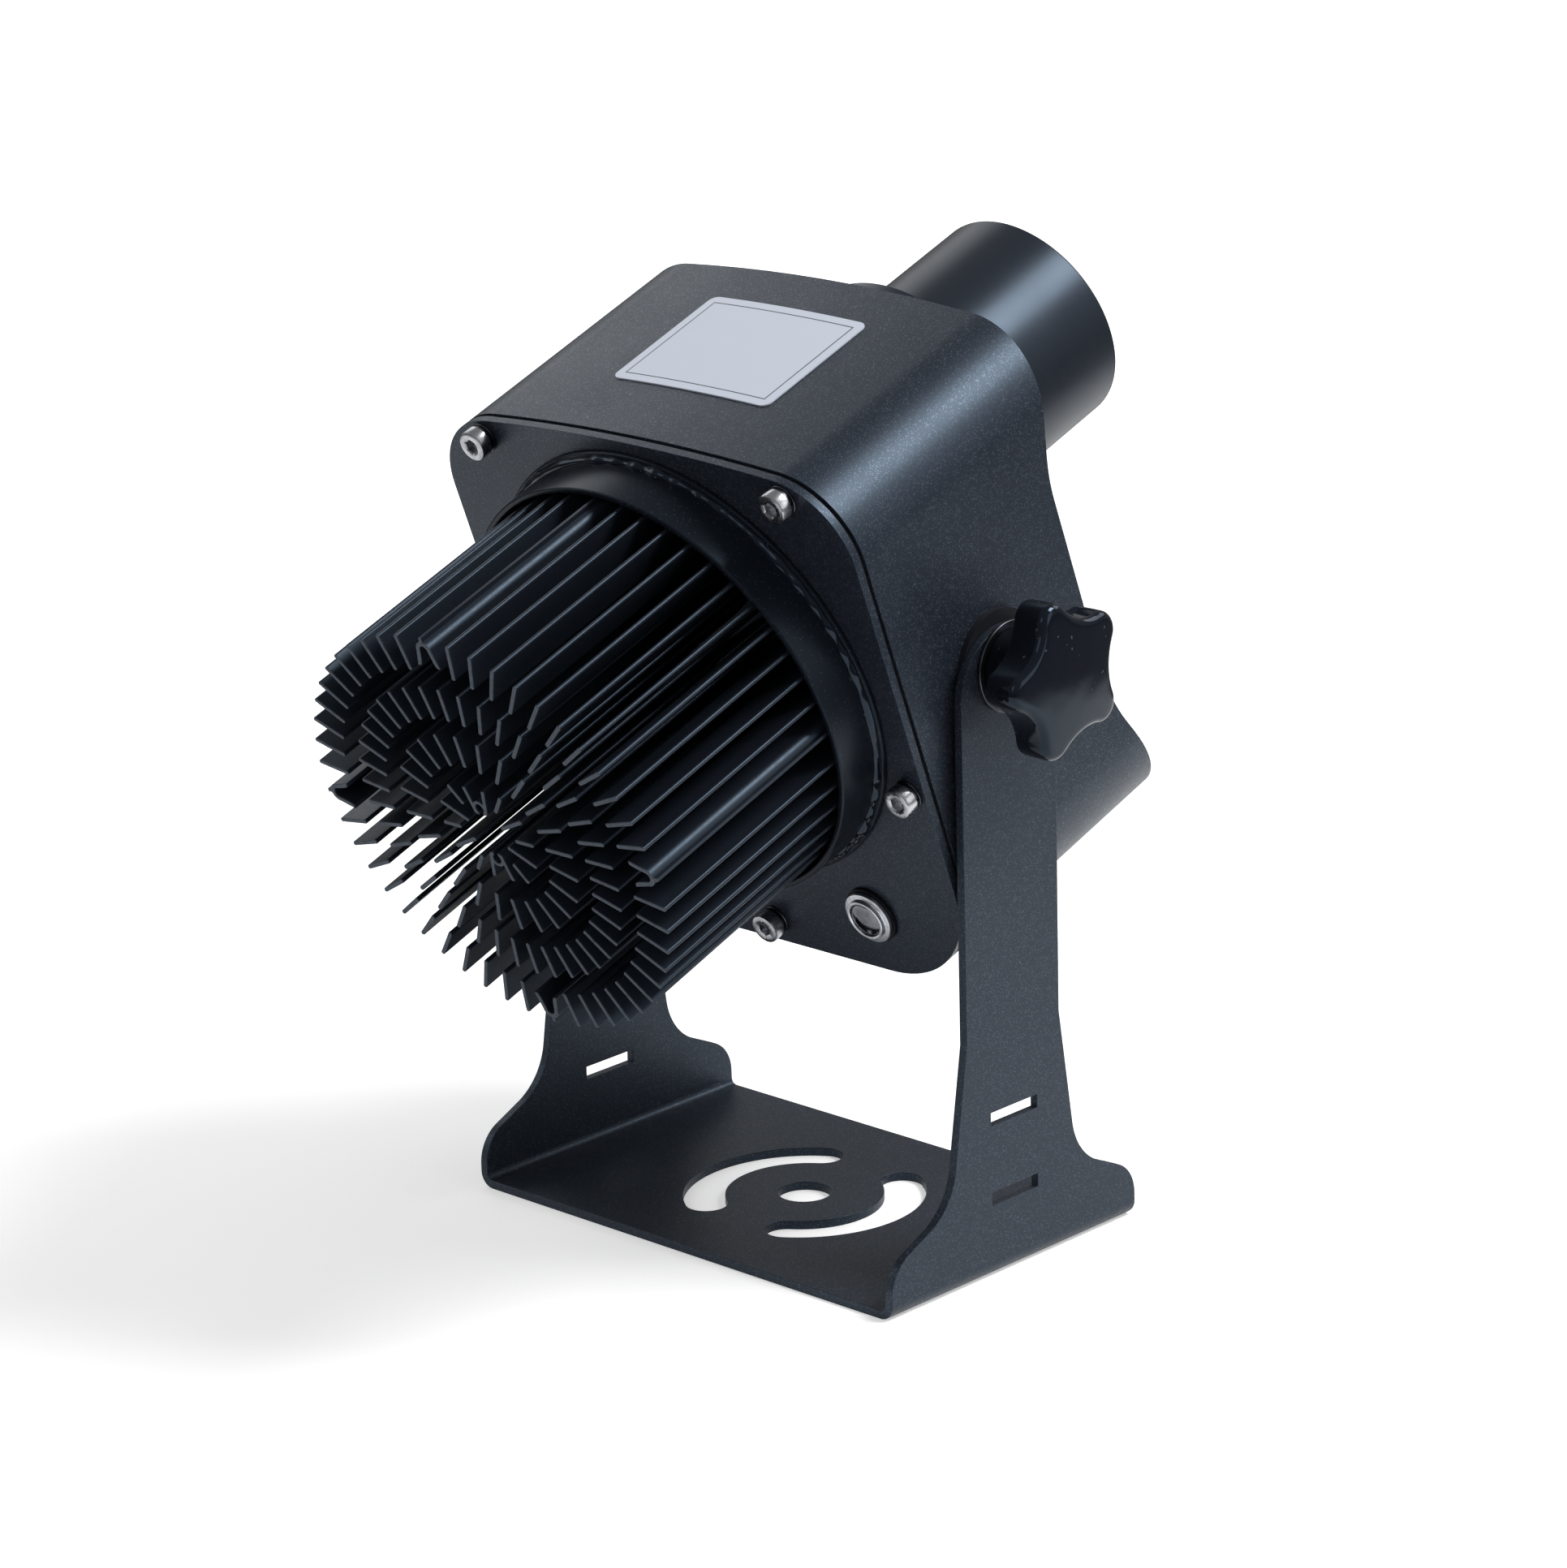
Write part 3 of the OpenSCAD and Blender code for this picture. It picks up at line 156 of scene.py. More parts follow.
class Nodes:
    """A node tree with one method that adds nodes."""

    def __init__(self, node_tree: bpy.types.NodeTree) -> None:
        """Starts with an empty tree.

        Args:
            node_tree: The tree of a material, of the world or of Geometry Nodes.
        """
        self.nodes = node_tree.nodes
        self.links = node_tree.links
        self.nodes.clear()

    def add(self, kind: str, settings: dict, inputs: dict) -> bpy.types.Node:
        """Adds a node.

        Args:
            kind: Type of the node.
            settings: Properties, which are set before the sockets.
            inputs: Values, wrapped values or sockets by the name or number of the input.

        Returns:
            The new node.
        """
        node = self.nodes.new(kind)
        for name, setting in settings.items():
            setattr(node, name, setting)
        for name, source in inputs.items():
            self.feed(node.inputs[name], source)
        return node

    def feed(self, target: bpy.types.NodeSocket, source: object) -> None:
        """Links an input to a source, or sets it to a plain value.

        Args:
            target: The input.
            source: A wrapped value, a socket or a plain value.
        """
        if isinstance(source, Value):
            source = source.socket
        if isinstance(source, bpy.types.NodeSocket):
            self.links.new(source, target)
        else:
            target.default_value = source

    def ray(self, kind: str) -> Value:
        """One for rays of a kind that Light Path names, else zero."""
        return Value(self, self.add("ShaderNodeLightPath", {}, {}).outputs[kind])

    def seen(self) -> Value:
        """One for rays that the camera sees straight or through glass, else zero."""
        return self.ray("Is Camera Ray").largest(self.ray("Is Transmission Ray"))


class ShaderTree(Nodes):
    """A material's node tree around a Principled shader."""

    def __init__(self, name: str) -> None:
        """Starts the material.

        Args:
            name: Name of the material.
        """
        self.material = bpy.data.materials.new(name)
        self.material.use_nodes = True
        super().__init__(self.material.node_tree)
        self.shader = self.add("ShaderNodeBsdfPrincipled", {}, {})
        self.output = self.add("ShaderNodeOutputMaterial", {}, {"Surface": self.shader.outputs[0]})

    def coordinates(self) -> bpy.types.NodeSocket:
        """Place on the object, in metres."""
        return self.add("ShaderNodeTexCoord", {}, {}).outputs["Object"]

    def axes(self) -> tuple[Value, Value, Value]:
        """The three parts of the place on the object.

        Returns:
            X, Y and Z in metres.
        """
        parts = self.add("ShaderNodeSeparateXYZ", {}, {0: self.coordinates()})
        return tuple(Value(self, parts.outputs[k]) for k in range(3))

    def noise(self, size_mm: float, detail: float = 2.0, stretch: tuple = (1.0, 1.0, 1.0)) -> Value:
        """Cloudy pattern.

        Args:
            size_mm: Size of its lumps.
            detail: Finer layers in it.
            stretch: Factors on the coordinates.

        Returns:
            A number around one half.
        """
        place = self.add("ShaderNodeMapping", {}, {"Vector": self.coordinates(), "Scale": stretch}).outputs[0]
        scale = 1 / (size_mm * MM)
        node = self.add("ShaderNodeTexNoise", {}, {"Vector": place, "Scale": scale, "Detail": detail})
        return Value(self, node.outputs[0])

    def specks(self, size_mm: float) -> Value:
        """Cells of which each has its own random number.

        Args:
            size_mm: Size of a cell.

        Returns:
            The cell's number, from zero to one.
        """
        scale = 1 / (size_mm * MM)
        cells = self.add("ShaderNodeTexVoronoi", {}, {"Vector": self.coordinates(), "Scale": scale})
        parts = self.add("ShaderNodeSeparateColor", {}, {0: cells.outputs["Color"]})
        return Value(self, parts.outputs[0])

    def blend(
        self, mask: Value, first: Sequence | bpy.types.NodeSocket, second: Sequence
    ) -> bpy.types.NodeSocket:
        """Mixes two colours.

        Args:
            mask: Share of the second colour.
            first: Colour where the mask is zero.
            second: Colour where the mask is one.

        Returns:
            The mixed colour.
        """
        return self.add("ShaderNodeMix", {"data_type": "RGBA"}, {0: mask, 6: first, 7: second}).outputs[2]

    def bump(self, height: Value, depth_mm: float) -> None:
        """Lets a pattern raise the surface.

        Args:
            height: The pattern.
            depth_mm: Height of the surface where the pattern is one.
        """
        inputs = {"Height": height, "Distance": depth_mm * MM, "Strength": 1.0}
        self.set(Normal=self.add("ShaderNodeBump", {}, inputs).outputs[0])

    def set(self, **inputs: float | Sequence | Value) -> None:
        """Sets inputs of the Principled shader, with underscores for the spaces in their names."""
        for name, source in inputs.items():
            self.feed(self.shader.inputs[name.replace("_", " ")], source)


def rgba(colour: Sequence[float]) -> tuple[float, float, float, float]:
    """Adds full opacity to a colour."""
    return (*colour, 1.0)


@dataclass(frozen=True)
class Finish:
    """A surface finish: its name, the record's slot, its colour and its gloss."""

    name: str
    slot: str
    colour: tuple[float, float, float]
    roughness: float = 0.5
    metallic: float = 0.0
    specular: float = 0.5
    tint: tuple[float, float, float] = (1.0, 1.0, 1.0)
    cloud_size: float = 6.0
    cloud_gloss: float = 0.12

    def material(self) -> bpy.types.Material:
        """Makes the material, once for each finish.

        Returns:
            The material.
        """
        made = bpy.data.materials.get(self.name)
        if made:
            return made
        tree = ShaderTree(self.name)
        tree.set(
            Base_Color=rgba(self.colour), Roughness=self.roughness, Metallic=self.metallic,
            Specular_IOR_Level=self.specular, Specular_Tint=rgba(self.tint),
        )
        self.dress(tree)
        return tree.material

    def dress(self, tree: ShaderTree) -> None:
        """Adds the finish's own pattern.

        Args:
            tree: The material's tree.
        """
        clouds = tree.noise(self.cloud_size)
        tree.set(Roughness=self.roughness + self.cloud_gloss * (clouds - 0.5))


@dataclass(frozen=True)
class PowderCoat(Finish):
    """Fine textured powder coat with sparse bright flakes."""

    cloud_size: float = 18.0
    cloud_gloss: float = 0.1
    tone_change: float = 0.15
    flake: tuple[float, float, float] = (0.06, 0.07, 0.09)
    flake_size: float = 0.17
    flake_share: float = 0.08
    flake_gloss: float = 0.12
    texture_size: float = 0.34
    texture_depth: float = 0.016

    def dress(self, tree: ShaderTree) -> None:
        """Adds flakes, a fine orange peel and slow changes of tone and gloss."""
        number = tree.specks(self.flake_size)
        flakes = number > 1 - self.flake_share
        clouds = tree.noise(self.cloud_size, 3.0)
        shares = (1 - self.tone_change, 1 + self.tone_change)
        dark, pale = (rgba([share * c for c in self.colour]) for share in shares)
        tree.set(
            Base_Color=tree.blend(flakes * number, tree.blend(clouds, dark, pale), rgba(self.flake)),
            Roughness=self.roughness + self.cloud_gloss * (clouds - 0.5) - self.flake_gloss * flakes,
        )
        tree.bump(tree.noise(self.texture_size), self.texture_depth)


@dataclass(frozen=True)
class SinkBlack(Finish):
    """Black anodised blades with grey, worn ends."""

    end_colour: tuple[float, float, float] = (0.05, 0.058, 0.072)
    end_reach: tuple[float, float] = (0.3, 0.05)
    wear_size: float = 1.2
    wear_range: tuple[float, float] = (0.2, 0.5)
    wear_gloss: float = 0.15
    tilt: float = 0.0
    pivot_height: float = 0.0
    end_y: float = 0.0

    def dress(self, tree: ShaderTree) -> None:
        """Adds the grey of the ends and patchy changes of gloss."""
        _, y, z = tree.axes()
        along = y * math.cos(self.tilt) + (z - self.pivot_height) * math.sin(self.tilt)
        wear = tree.noise(self.wear_size, 3.0)
        worn = (along - self.end_y * MM).ramp(*(reach * MM for reach in self.end_reach))
        grey = worn * wear.ramp(*self.wear_range)
        tree.set(
            Base_Color=tree.blend(grey, rgba(self.colour), rgba(self.end_colour)),
            Roughness=self.roughness + self.wear_gloss * (wear - 0.5 + worn),
        )


@dataclass(frozen=True)
class Anodised(Finish):
    """Black anodised turned part with a fine bead-blasted grain."""

    cloud_size: float = 14.0
    cloud_gloss: float = 0.08
    grain_size: float = 0.25
    grain_depth: float = 0.006

    def dress(self, tree: ShaderTree) -> None:
        """Adds the grain and slow changes of gloss."""
        super().dress(tree)
        tree.bump(tree.noise(self.grain_size), self.grain_depth)


@dataclass(frozen=True)
class Steel(Finish):
    """Bright turned steel with handling marks."""

    patch_size: float = 1.5
    patch_range: tuple[float, float] = (0.35, 0.65)
    patch_tone: float = 0.72
    patch_gloss: float = 0.2
    scratch_size: float = 0.3
    scratch_stretch: tuple[float, float, float] = (1.0, 0.15, 1.0)
    scratch_depth: float = 0.004

    def dress(self, tree: ShaderTree) -> None:
        """Adds fine scratches and slightly darker patches."""
        patches = tree.noise(self.patch_size, 3.0)
        dark = rgba([self.patch_tone * c for c in self.colour])
        tree.set(
            Base_Color=tree.blend(patches.ramp(*self.patch_range), rgba(self.colour), dark),
            Roughness=self.roughness + self.patch_gloss * (patches - 0.5),
        )
        tree.bump(tree.noise(self.scratch_size, 2.0, self.scratch_stretch), self.scratch_depth)


@dataclass(frozen=True)
class Moulding(Finish):
    """Glossy moulded plastic with a soft wave and a little dust."""

    dust: tuple[float, float, float] = (0.04, 0.042, 0.046)
    dust_size: float = 0.45
    dust_share: float = 0.004
    dust_gloss: float = 0.5
    wave_size: float = 9.0
    wave_depth: float = 0.12

    def dress(self, tree: ShaderTree) -> None:
        """Adds dust specks and the wave of a moulded face."""
        dust = tree.specks(self.dust_size) > 1 - self.dust_share
        tree.set(
            Base_Color=tree.blend(dust, rgba(self.colour), rgba(self.dust)),
            Roughness=self.roughness + self.dust_gloss * dust,
        )
        tree.bump(tree.noise(self.wave_size, 1.0), self.wave_depth)


@dataclass(frozen=True)
class Glass(Finish):
    """Coated optical glass."""

    refraction: float = 1.5

    def dress(self, tree: ShaderTree) -> None:
        """Makes the glass clear."""
        tree.set(Transmission_Weight=1.0, IOR=self.refraction)


@dataclass(frozen=True)
class Foil(Finish):
    """Satin label foil with a thin printed border and nothing inside it."""

    cloud_size: float = 5.0
    cloud_gloss: float = 0.1
    line_colour: tuple[float, float, float] = (0.05, 0.055, 0.07)
    half_w: float = 22.5
    half_len: float = 17.0
    middle_y: float = 8.4
    border: float = 2.3
    line: float = 0.16
    tilt: float = 0.0
    pivot_height: float = 0.0

    def dress(self, tree: ShaderTree) -> None:
        """Adds the border line."""
        super().dress(tree)
        x, y, z = tree.axes()
        along = y * math.cos(self.tilt) + (z - self.pivot_height) * math.sin(self.tilt) - self.middle_y * MM
        from_side = self.half_w * MM - abs(x)
        from_end = self.half_len * MM - abs(along)
        nearest = (0.0 - from_side).largest(0.0 - from_end) * -1.0
        line = abs(nearest - self.border * MM) < self.line * MM
        tree.set(Base_Color=tree.blend(line, rgba(self.colour), rgba(self.line_colour)))


@dataclass(frozen=True)
class Place:
    """A local frame in which shapes are drawn in millimetres."""

    matrix: Matrix

    def shifted(self, x: float, y: float, z: float) -> Place:
        """The same frame moved by a distance in its own axes."""
        return Place(self.matrix @ Matrix.Translation((x, y, z)))

    def mirrored(self) -> Place:
        """The same frame with its X turned round."""
        return Place(self.matrix @ Matrix.Scale(-1, 4, (1, 0, 0)))


class Shell:
    """Vertices and faces that become one mesh piece."""

    def __init__(self) -> None:
        """Starts empty."""
        self.mesh = bmesh.new()

    def loft(self, rings: Sequence[Ring], closed: bool = False) -> Shell:
        """Joins rings of equally many points, with both ends filled unless the last ring joins the first.

        Args:
            rings: The rings in order.
            closed: Whether the last ring joins the first.

        Returns:
            This shell.
        """
        rows = [[self.mesh.verts.new(point) for point in ring] for ring in rings]
        if closed:
            rows.append(rows[0])
        for low, high in zip(rows, rows[1:]):
            for k in range(len(low)):
                after = (k + 1) % len(low)
                self.mesh.faces.new((low[k], low[after], high[after], high[k]))
        if not closed:
            self.mesh.faces.new(rows[0])
            self.mesh.faces.new(rows[-1])
        return self

    def turned(self, profile: Outline, steps: int = 96) -> Shell:
        """Turns a profile of radius and Y about the Y axis.

        Args:
            profile: Points of the profile.
            steps: Points around.

        Returns:
            This shell.
        """
        turns = [math.tau * k / steps for k in range(steps)]
        rings = [[Vector((r * math.cos(a), y, r * math.sin(a))) for a in turns] for r, y in profile]
        return self.loft(rings)

    def prism(self, outline: Outline, low: float, high: float, edge: float) -> Shell:
        """Extrudes an outline drawn in X and Z along Y, with a small chamfer at its low end.

        Args:
            outline: Points of the outline, in order.
            low: Y of the low end.
            high: Y of the high end.
            edge: Size of the chamfer.

        Returns:
            This shell.
        """
        return self.loft(
            [upright(inset(outline, edge), low), upright(outline, low + edge), upright(outline, high)]
        )

    def data(self, name: str, place: Place, sharp: float = SHARP_ANGLE) -> bpy.types.Mesh:
        """Turns the shell into mesh data.

        Args:
            name: Name of the data.
            place: Frame in which the shell was drawn.
            sharp: Angle in degrees above which an edge stays sharp.

        Returns:
            The mesh.
        """
        self.mesh.transform(place.matrix)
        bmesh.ops.recalc_face_normals(self.mesh, faces=self.mesh.faces)
        bmesh.ops.triangulate(self.mesh, faces=[f for f in self.mesh.faces if len(f.verts) > 4])
        return smooth_mesh(self.mesh, name, sharp)


def smoothed(data: bpy.types.Mesh, sharp: float) -> bpy.types.Mesh:
    """Shades mesh data smooth up to an angle in degrees."""
    data.shade_smooth()
    data.set_sharp_from_angle(angle=math.radians(sharp))
    return data


def smooth_mesh(work: bmesh.types.BMesh, name: str, sharp: float) -> bpy.types.Mesh:
    """Turns a working mesh into smoothly shaded mesh data and frees it.

    Args:
        work: The working mesh.
        name: Name of the data.
        sharp: Angle in degrees above which an edge stays sharp.

    Returns:
        The mesh.
    """
    data = bpy.data.meshes.new(name)
    work.to_mesh(data)
    work.free()
    return smoothed(data, sharp)


def through(data: bpy.types.Mesh, kind: str, settings: dict) -> bpy.types.Mesh:
    """Puts mesh data through one modifier, which uses it up.

    Args:
        data: The mesh.
        kind: Type of the modifier.
        settings: Its properties, and its inputs by their identifiers.

    Returns:
        The resulting mesh.
    """
    carrier = bpy.data.objects.new("carrier", data)
    bpy.context.scene.collection.objects.link(carrier)
    modifier = carrier.modifiers.new("modifier", kind)
    for name, setting in settings.items():
        if hasattr(modifier, name):
            setattr(modifier, name, setting)
        else:
            modifier[name] = setting
    bpy.context.view_layer.update()
    result = bpy.data.meshes.new_from_object(carrier.evaluated_get(bpy.context.evaluated_depsgraph_get()))
    carrier.modifiers.remove(modifier)
    bpy.data.objects.remove(carrier)
    bpy.data.meshes.remove(data)
    return result


def upright(outline: Outline, y: float) -> Ring:
    """Puts an outline of X and Z into a plane across Y."""
    return [Vector((x, y, z)) for x, z in outline]


def inset(outline: Outline, distance: float) -> Outline:
    """Moves each point of an anticlockwise outline inwards, square to its neighbours.

    Args:
        outline: Points in order.
        distance: Distance to move.

    Returns:
        The smaller outline.
    """
    moved = []
    for k, (x, z) in enumerate(outline):
        before = outline[k - 1]
        after = outline[(k + 1) % len(outline)]
        run = Vector((after[0] - before[0], after[1] - before[1]))
        step = Vector((-run.y, run.x)).normalized() * distance
        moved.append((x + step.x, z + step.y))
    return moved


def polar(radius: float, turn: float) -> tuple[float, float]:
    """Point at a distance and an angle in degrees."""
    return radius * math.cos(math.radians(turn)), radius * math.sin(math.radians(turn))


def arc(middle: tuple[float, float], radius: float, start: float, end: float, steps: int) -> Outline:
    """Points along an arc.

    Args:
        middle: Centre of the arc.
        radius: Its radius.
        start: First angle in degrees.
        end: Last angle in degrees.
        steps: Number of steps between them.

    Returns:
        The points, with both ends.
    """
    points = [polar(radius, start + (end - start) * k / steps) for k in range(steps + 1)]
    return [(middle[0] + x, middle[1] + y) for x, y in points]


def show(data: bpy.types.Mesh, name: str, finish: Finish, body: str, *nodes: str) -> bpy.types.Object:
    """Makes a piece of mesh data, gives it its finish and ties it to its body.

    Args:
        data: The mesh, in metres in the part's frame.
        name: Name of the piece.
        finish: Its finish.
        body: Body that it moves with.
        nodes: Nodes that it stands for.

    Returns:
        The piece.
    """
    piece = bpy.data.objects.new(name, data)
    bpy.context.scene.collection.objects.link(piece)
    data.materials.clear()
    data.materials.append(finish.material())
    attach(piece, body)
    if nodes:
        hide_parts(*nodes)
    LOG.info("made %s on %s with %d faces", name, body, len(data.polygons))
    return piece


def softened(node: bpy.types.Object, width: float, segments: int = 2) -> bpy.types.Mesh:
    """Copies a solid's mesh and rounds its sharp edges. Large flat faces decide the normals at them.

    Args:
        node: The solid.
        width: Width of the rounding in millimetres.
        segments: Facets of the rounding.

    Returns:
        The mesh.
    """
    flat_angle, rounded_angle, smooth_angle = 0.5, 30.0, 40.0
    work = bmesh.new()
    work.from_mesh(node.data)
    bmesh.ops.remove_doubles(work, verts=work.verts, dist=MERGE_DISTANCE)
    bmesh.ops.dissolve_limit(work, angle_limit=math.radians(flat_angle), verts=work.verts, edges=work.edges)
    limit = math.radians(rounded_angle)
    edges = [e for e in work.edges if len(e.link_faces) == 2 and e.calc_face_angle(0.0) > limit]
    bmesh.ops.bevel(
        work, geom=edges, offset=width * MM, offset_type="OFFSET", segments=segments, profile=0.5,
        affect="EDGES", clamp_overlap=True, harden_normals=False,
    )
    bmesh.ops.triangulate(work, faces=[f for f in work.faces if len(f.verts) > 4])
    data = smooth_mesh(work, "work", smooth_angle)
    made = through(data, "WEIGHTED_NORMAL", {"keep_sharp": True})
    made.name = node.name + "_shape"
    return made


class Pattern(Nodes):
    """Geometry Nodes that copy one shape, with Shape and Material among their inputs."""

    def __init__(self, name: str) -> None:
        """Starts an empty tree.

        Args:
            name: Name of the tree.
        """
        self.tree = bpy.data.node_groups.new(name, "GeometryNodeTree")
        super().__init__(self.tree)
        self.inputs: dict[str, str] = {}
        self.tree.interface.new_socket("Geometry", in_out="INPUT", socket_type="NodeSocketGeometry")
        self.tree.interface.new_socket("Geometry", in_out="OUTPUT", socket_type="NodeSocketGeometry")
        self.input("Shape", "NodeSocketObject")
        self.input("Material", "NodeSocketMaterial")
        self.start = self.add("NodeGroupInput", {}, {})
        self.end = self.add("NodeGroupOutput", {}, {})

    def input(self, name: str, kind: str) -> None:
        """Adds a named input.

        Args:
            name: Its name.
            kind: Type of its socket.
        """
        socket = self.tree.interface.new_socket(name, in_out="INPUT", socket_type=kind)
        self.inputs[name] = socket.identifier

    def feed(self, target: bpy.types.NodeSocket, source: object) -> None:
        """Links an input to a source. A text names an input of the tree.

        Args:
            target: The input.
            source: A name, a wrapped value, a socket or a plain value.
        """
        super().feed(target, self.start.outputs[source] if isinstance(source, str) else source)

    def copy_to(self, points: bpy.types.Node, **inputs: bpy.types.NodeSocket) -> None:
        """Ends the tree with a copy of the shape on each point, as plain mesh with the material.

        Args:
            points: Node that gives the points.
            inputs: More inputs of the node that places the copies.
        """
        shape = self.add("GeometryNodeObjectInfo", {}, {"Object": "Shape"}).outputs["Geometry"]
        copies = self.add(
            "GeometryNodeInstanceOnPoints", {}, {"Points": points.outputs[0], "Instance": shape, **inputs}
        )
        real = self.add("GeometryNodeRealizeInstances", {}, {0: copies.outputs[0]})
        dressed = self.add("GeometryNodeSetMaterial", {}, {0: real.outputs[0], "Material": "Material"})
        self.feed(self.end.inputs[0], dressed.outputs[0])

    def run(self, base: bpy.types.Mesh, values: dict) -> bpy.types.Mesh:
        """Runs the tree once.

        Args:
            base: Mesh that the tree starts from.
            values: Values of the named inputs.

        Returns:
            The resulting mesh.
        """
        inputs = {self.inputs[name]: value for name, value in values.items()}
        return through(base, "NODES", {"node_group": self.tree, **inputs})


def around_pattern() -> Pattern:
    """Tree that turns copies of a shape about Y, in equal groups around the circle.

    Returns:
        The tree, with Shape, Count, Group Size, Group Turn, First Turn, Step and Material as inputs.
    """
    pattern = Pattern("copies_around_axis")
    for name in ("Count", "Group Size"):
        pattern.input(name, "NodeSocketInt")
    for name in ("Group Turn", "First Turn", "Step"):
        pattern.input(name, "NodeSocketFloat")
    index = Value(pattern, pattern.add("GeometryNodeInputIndex", {}, {}).outputs[0])
    group = math.floor(index / "Group Size")
    turn = group * "Group Turn" + "First Turn" + index % "Group Size" * "Step"
    angles = pattern.add("ShaderNodeCombineXYZ", {}, {1: turn})
    pattern.copy_to(pattern.add("GeometryNodePoints", {}, {"Count": "Count"}), Rotation=angles.outputs[0])
    return pattern


def places_pattern() -> Pattern:
    """Tree that puts a copy of a shape on each vertex of the mesh that it starts from.

    Returns:
        The tree, with Shape and Material as inputs.
    """
    pattern = Pattern("copies_at_places")
    pattern.copy_to(pattern.add("GeometryNodeMeshToPoints", {}, {0: "Geometry"}))
    return pattern


LOCAL = Place(Matrix.Identity(4))


def shape_object(shell: Shell, name: str) -> bpy.types.Object:
    """Makes a hidden object that a pattern copies, in millimetres around its own origin.

    Args:
        shell: The shape.
        name: Its name.

    Returns:
        The object, which isn't in any scene.
    """
    return bpy.data.objects.new(name, shell.data(name, LOCAL))


def moved(data: bpy.types.Mesh, place: Place) -> bpy.types.Mesh:
    """Takes mesh data from a local frame to the part's frame."""
    data.transform(place.matrix)
    return smoothed(data, SHARP_ANGLE)


@dataclass
class Head:
    """Where the head is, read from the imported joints."""

    frame: dict
    pivot_height: float = field(init=False)
    tilt: float = field(init=False)

    def __post_init__(self) -> None:
        """Reads the tilt axis and the lens direction."""
        joints = {joint["name"]: joint for joint in self.frame["record"]["behaviour"]["joints"]}
        self.pivot_height = joints["tilt"]["pos_m"][2]
        forward = joints["focus_travel"]["axis"]
        self.tilt = math.atan2(forward[2], forward[1])

    @property
    def place(self) -> Place:
        """The head's own frame, which starts at the tilt axis."""
        turn = Matrix.Rotation(self.tilt, 4, "X")
        return Place(Matrix.Translation((0, 0, self.pivot_height)) @ turn @ Matrix.Scale(MM, 4))

    def node(self, name: str) -> bpy.types.Object:
        """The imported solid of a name."""
        return self.frame["nodes"][name]

    def reach(self, name: str) -> tuple[Vector, Vector]:
        """Lowest and highest corner of a solid in the head's own frame, in millimetres.

        Args:
            name: Name of the solid.

        Returns:
            The two corners.
        """
        back = self.place.matrix.inverted()
        corners = [back @ v.co for v in self.node(name).data.vertices]
        low = Vector([min(c[k] for c in corners) for k in range(3)])
        high = Vector([max(c[k] for c in corners) for k in range(3)])
        return low, high


@dataclass
class Finishes:
    """All finishes of the projector."""

    head: Head
    coat: Finish = PowderCoat(
        "black_powder_coat", "black_coat", (0.0095, 0.012, 0.018), 0.42, specular=0.46, tint=COOL
    )
    satin: Finish = PowderCoat(
        "satin_black_coat", "black_coat", (0.006, 0.008, 0.012), 0.3, specular=0.2, tint=COOL,
        flake_share=0.01, texture_depth=0.003,
    )
    anodised: Finish = Anodised(
        "black_anodised_lens", "black_anodised", (0.011, 0.013, 0.018), 0.34, specular=0.35, tint=COOL
    )
    steel: Finish = Steel("bright_steel", "stainless", (0.52, 0.535, 0.57), 0.28, 1.0)
    bezel: Finish = Steel("bright_turned_ring", "stainless", (0.72, 0.74, 0.79), 0.32, 1.0)
    # Washer steel is painted dark as painted shade: it stands in for the shadow under the screw heads and
    # behind the knobs
    washer: Finish = Steel("dark_steel_washers", "stainless", (0.09, 0.095, 0.11), 0.34, 1.0)
    cap: Finish = Steel("polished_steel_cap", "button_steel", (0.2, 0.205, 0.23), 0.12, 1.0)
    knob: Finish = Moulding(
        "glossy_black_moulding", "knob_black", (0.005, 0.006, 0.009), 0.1, specular=0.32, tint=COOL
    )
    sealant: Finish = Moulding(
        "glossy_black_sealant", "sealant_black", (0.006, 0.008, 0.012), 0.1, specular=0.4, tint=COOL
    )
    nylon: Finish = Finish("black_nylon", "gland_black", (0.015, 0.015, 0.017), 0.45)
    sink: Finish = field(init=False)
    label: Finish = field(init=False)

    def __post_init__(self) -> None:
        """Fills in the finishes that depend on where the head is."""
        tilt, height = self.head.tilt, self.head.pivot_height
        self.sink = SinkBlack(
            "black_anodised_blades", "sink_black", (0.009, 0.0115, 0.017), 0.38, specular=0.42, tint=COOL,
            tilt=tilt, pivot_height=height, end_y=self.head.reach("heat_sink")[0].y,
        )
        self.label = Foil(
            "bare_label_foil", "label_silver", (0.45, 0.485, 0.56), 0.5, 0.0, tilt=tilt, pivot_height=height
        )

    def plain(self) -> dict[str, Finish]:
        """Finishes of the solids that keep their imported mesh, by the record's slot.

        Returns:
            The finishes.
        """
        rows = [
            self.coat, self.sink, self.anodised, self.steel, self.cap, self.knob, self.label, self.sealant,
            self.nylon, Glass("coated_glass", "clear_glass", (0.93, 0.95, 0.98), 0.02),
            Finish("black_gasket_rubber", "gasket_black", (0.006, 0.007, 0.01), 0.6, specular=0.2),
            Steel("zinc_plated_steel", "zinc_steel", (0.55, 0.56, 0.57), 0.35, 1.0),
            Finish("green_solder_mask", "board_green", (0.02, 0.12, 0.05), 0.35),
            Finish("yellow_phosphor", "phosphor_yellow", (0.75, 0.5, 0.06), 0.5),
            Steel("driver_case", "driver_aluminium", (0.5, 0.51, 0.53), 0.4, 1.0),
            Finish("brown_contact_block", "contact_block", (0.12, 0.07, 0.03), 0.5),
            Finish("grey_gland_rubber", "gland_rubber", (0.035, 0.035, 0.038), 0.65),
        ]
        return {finish.slot: finish for finish in rows}


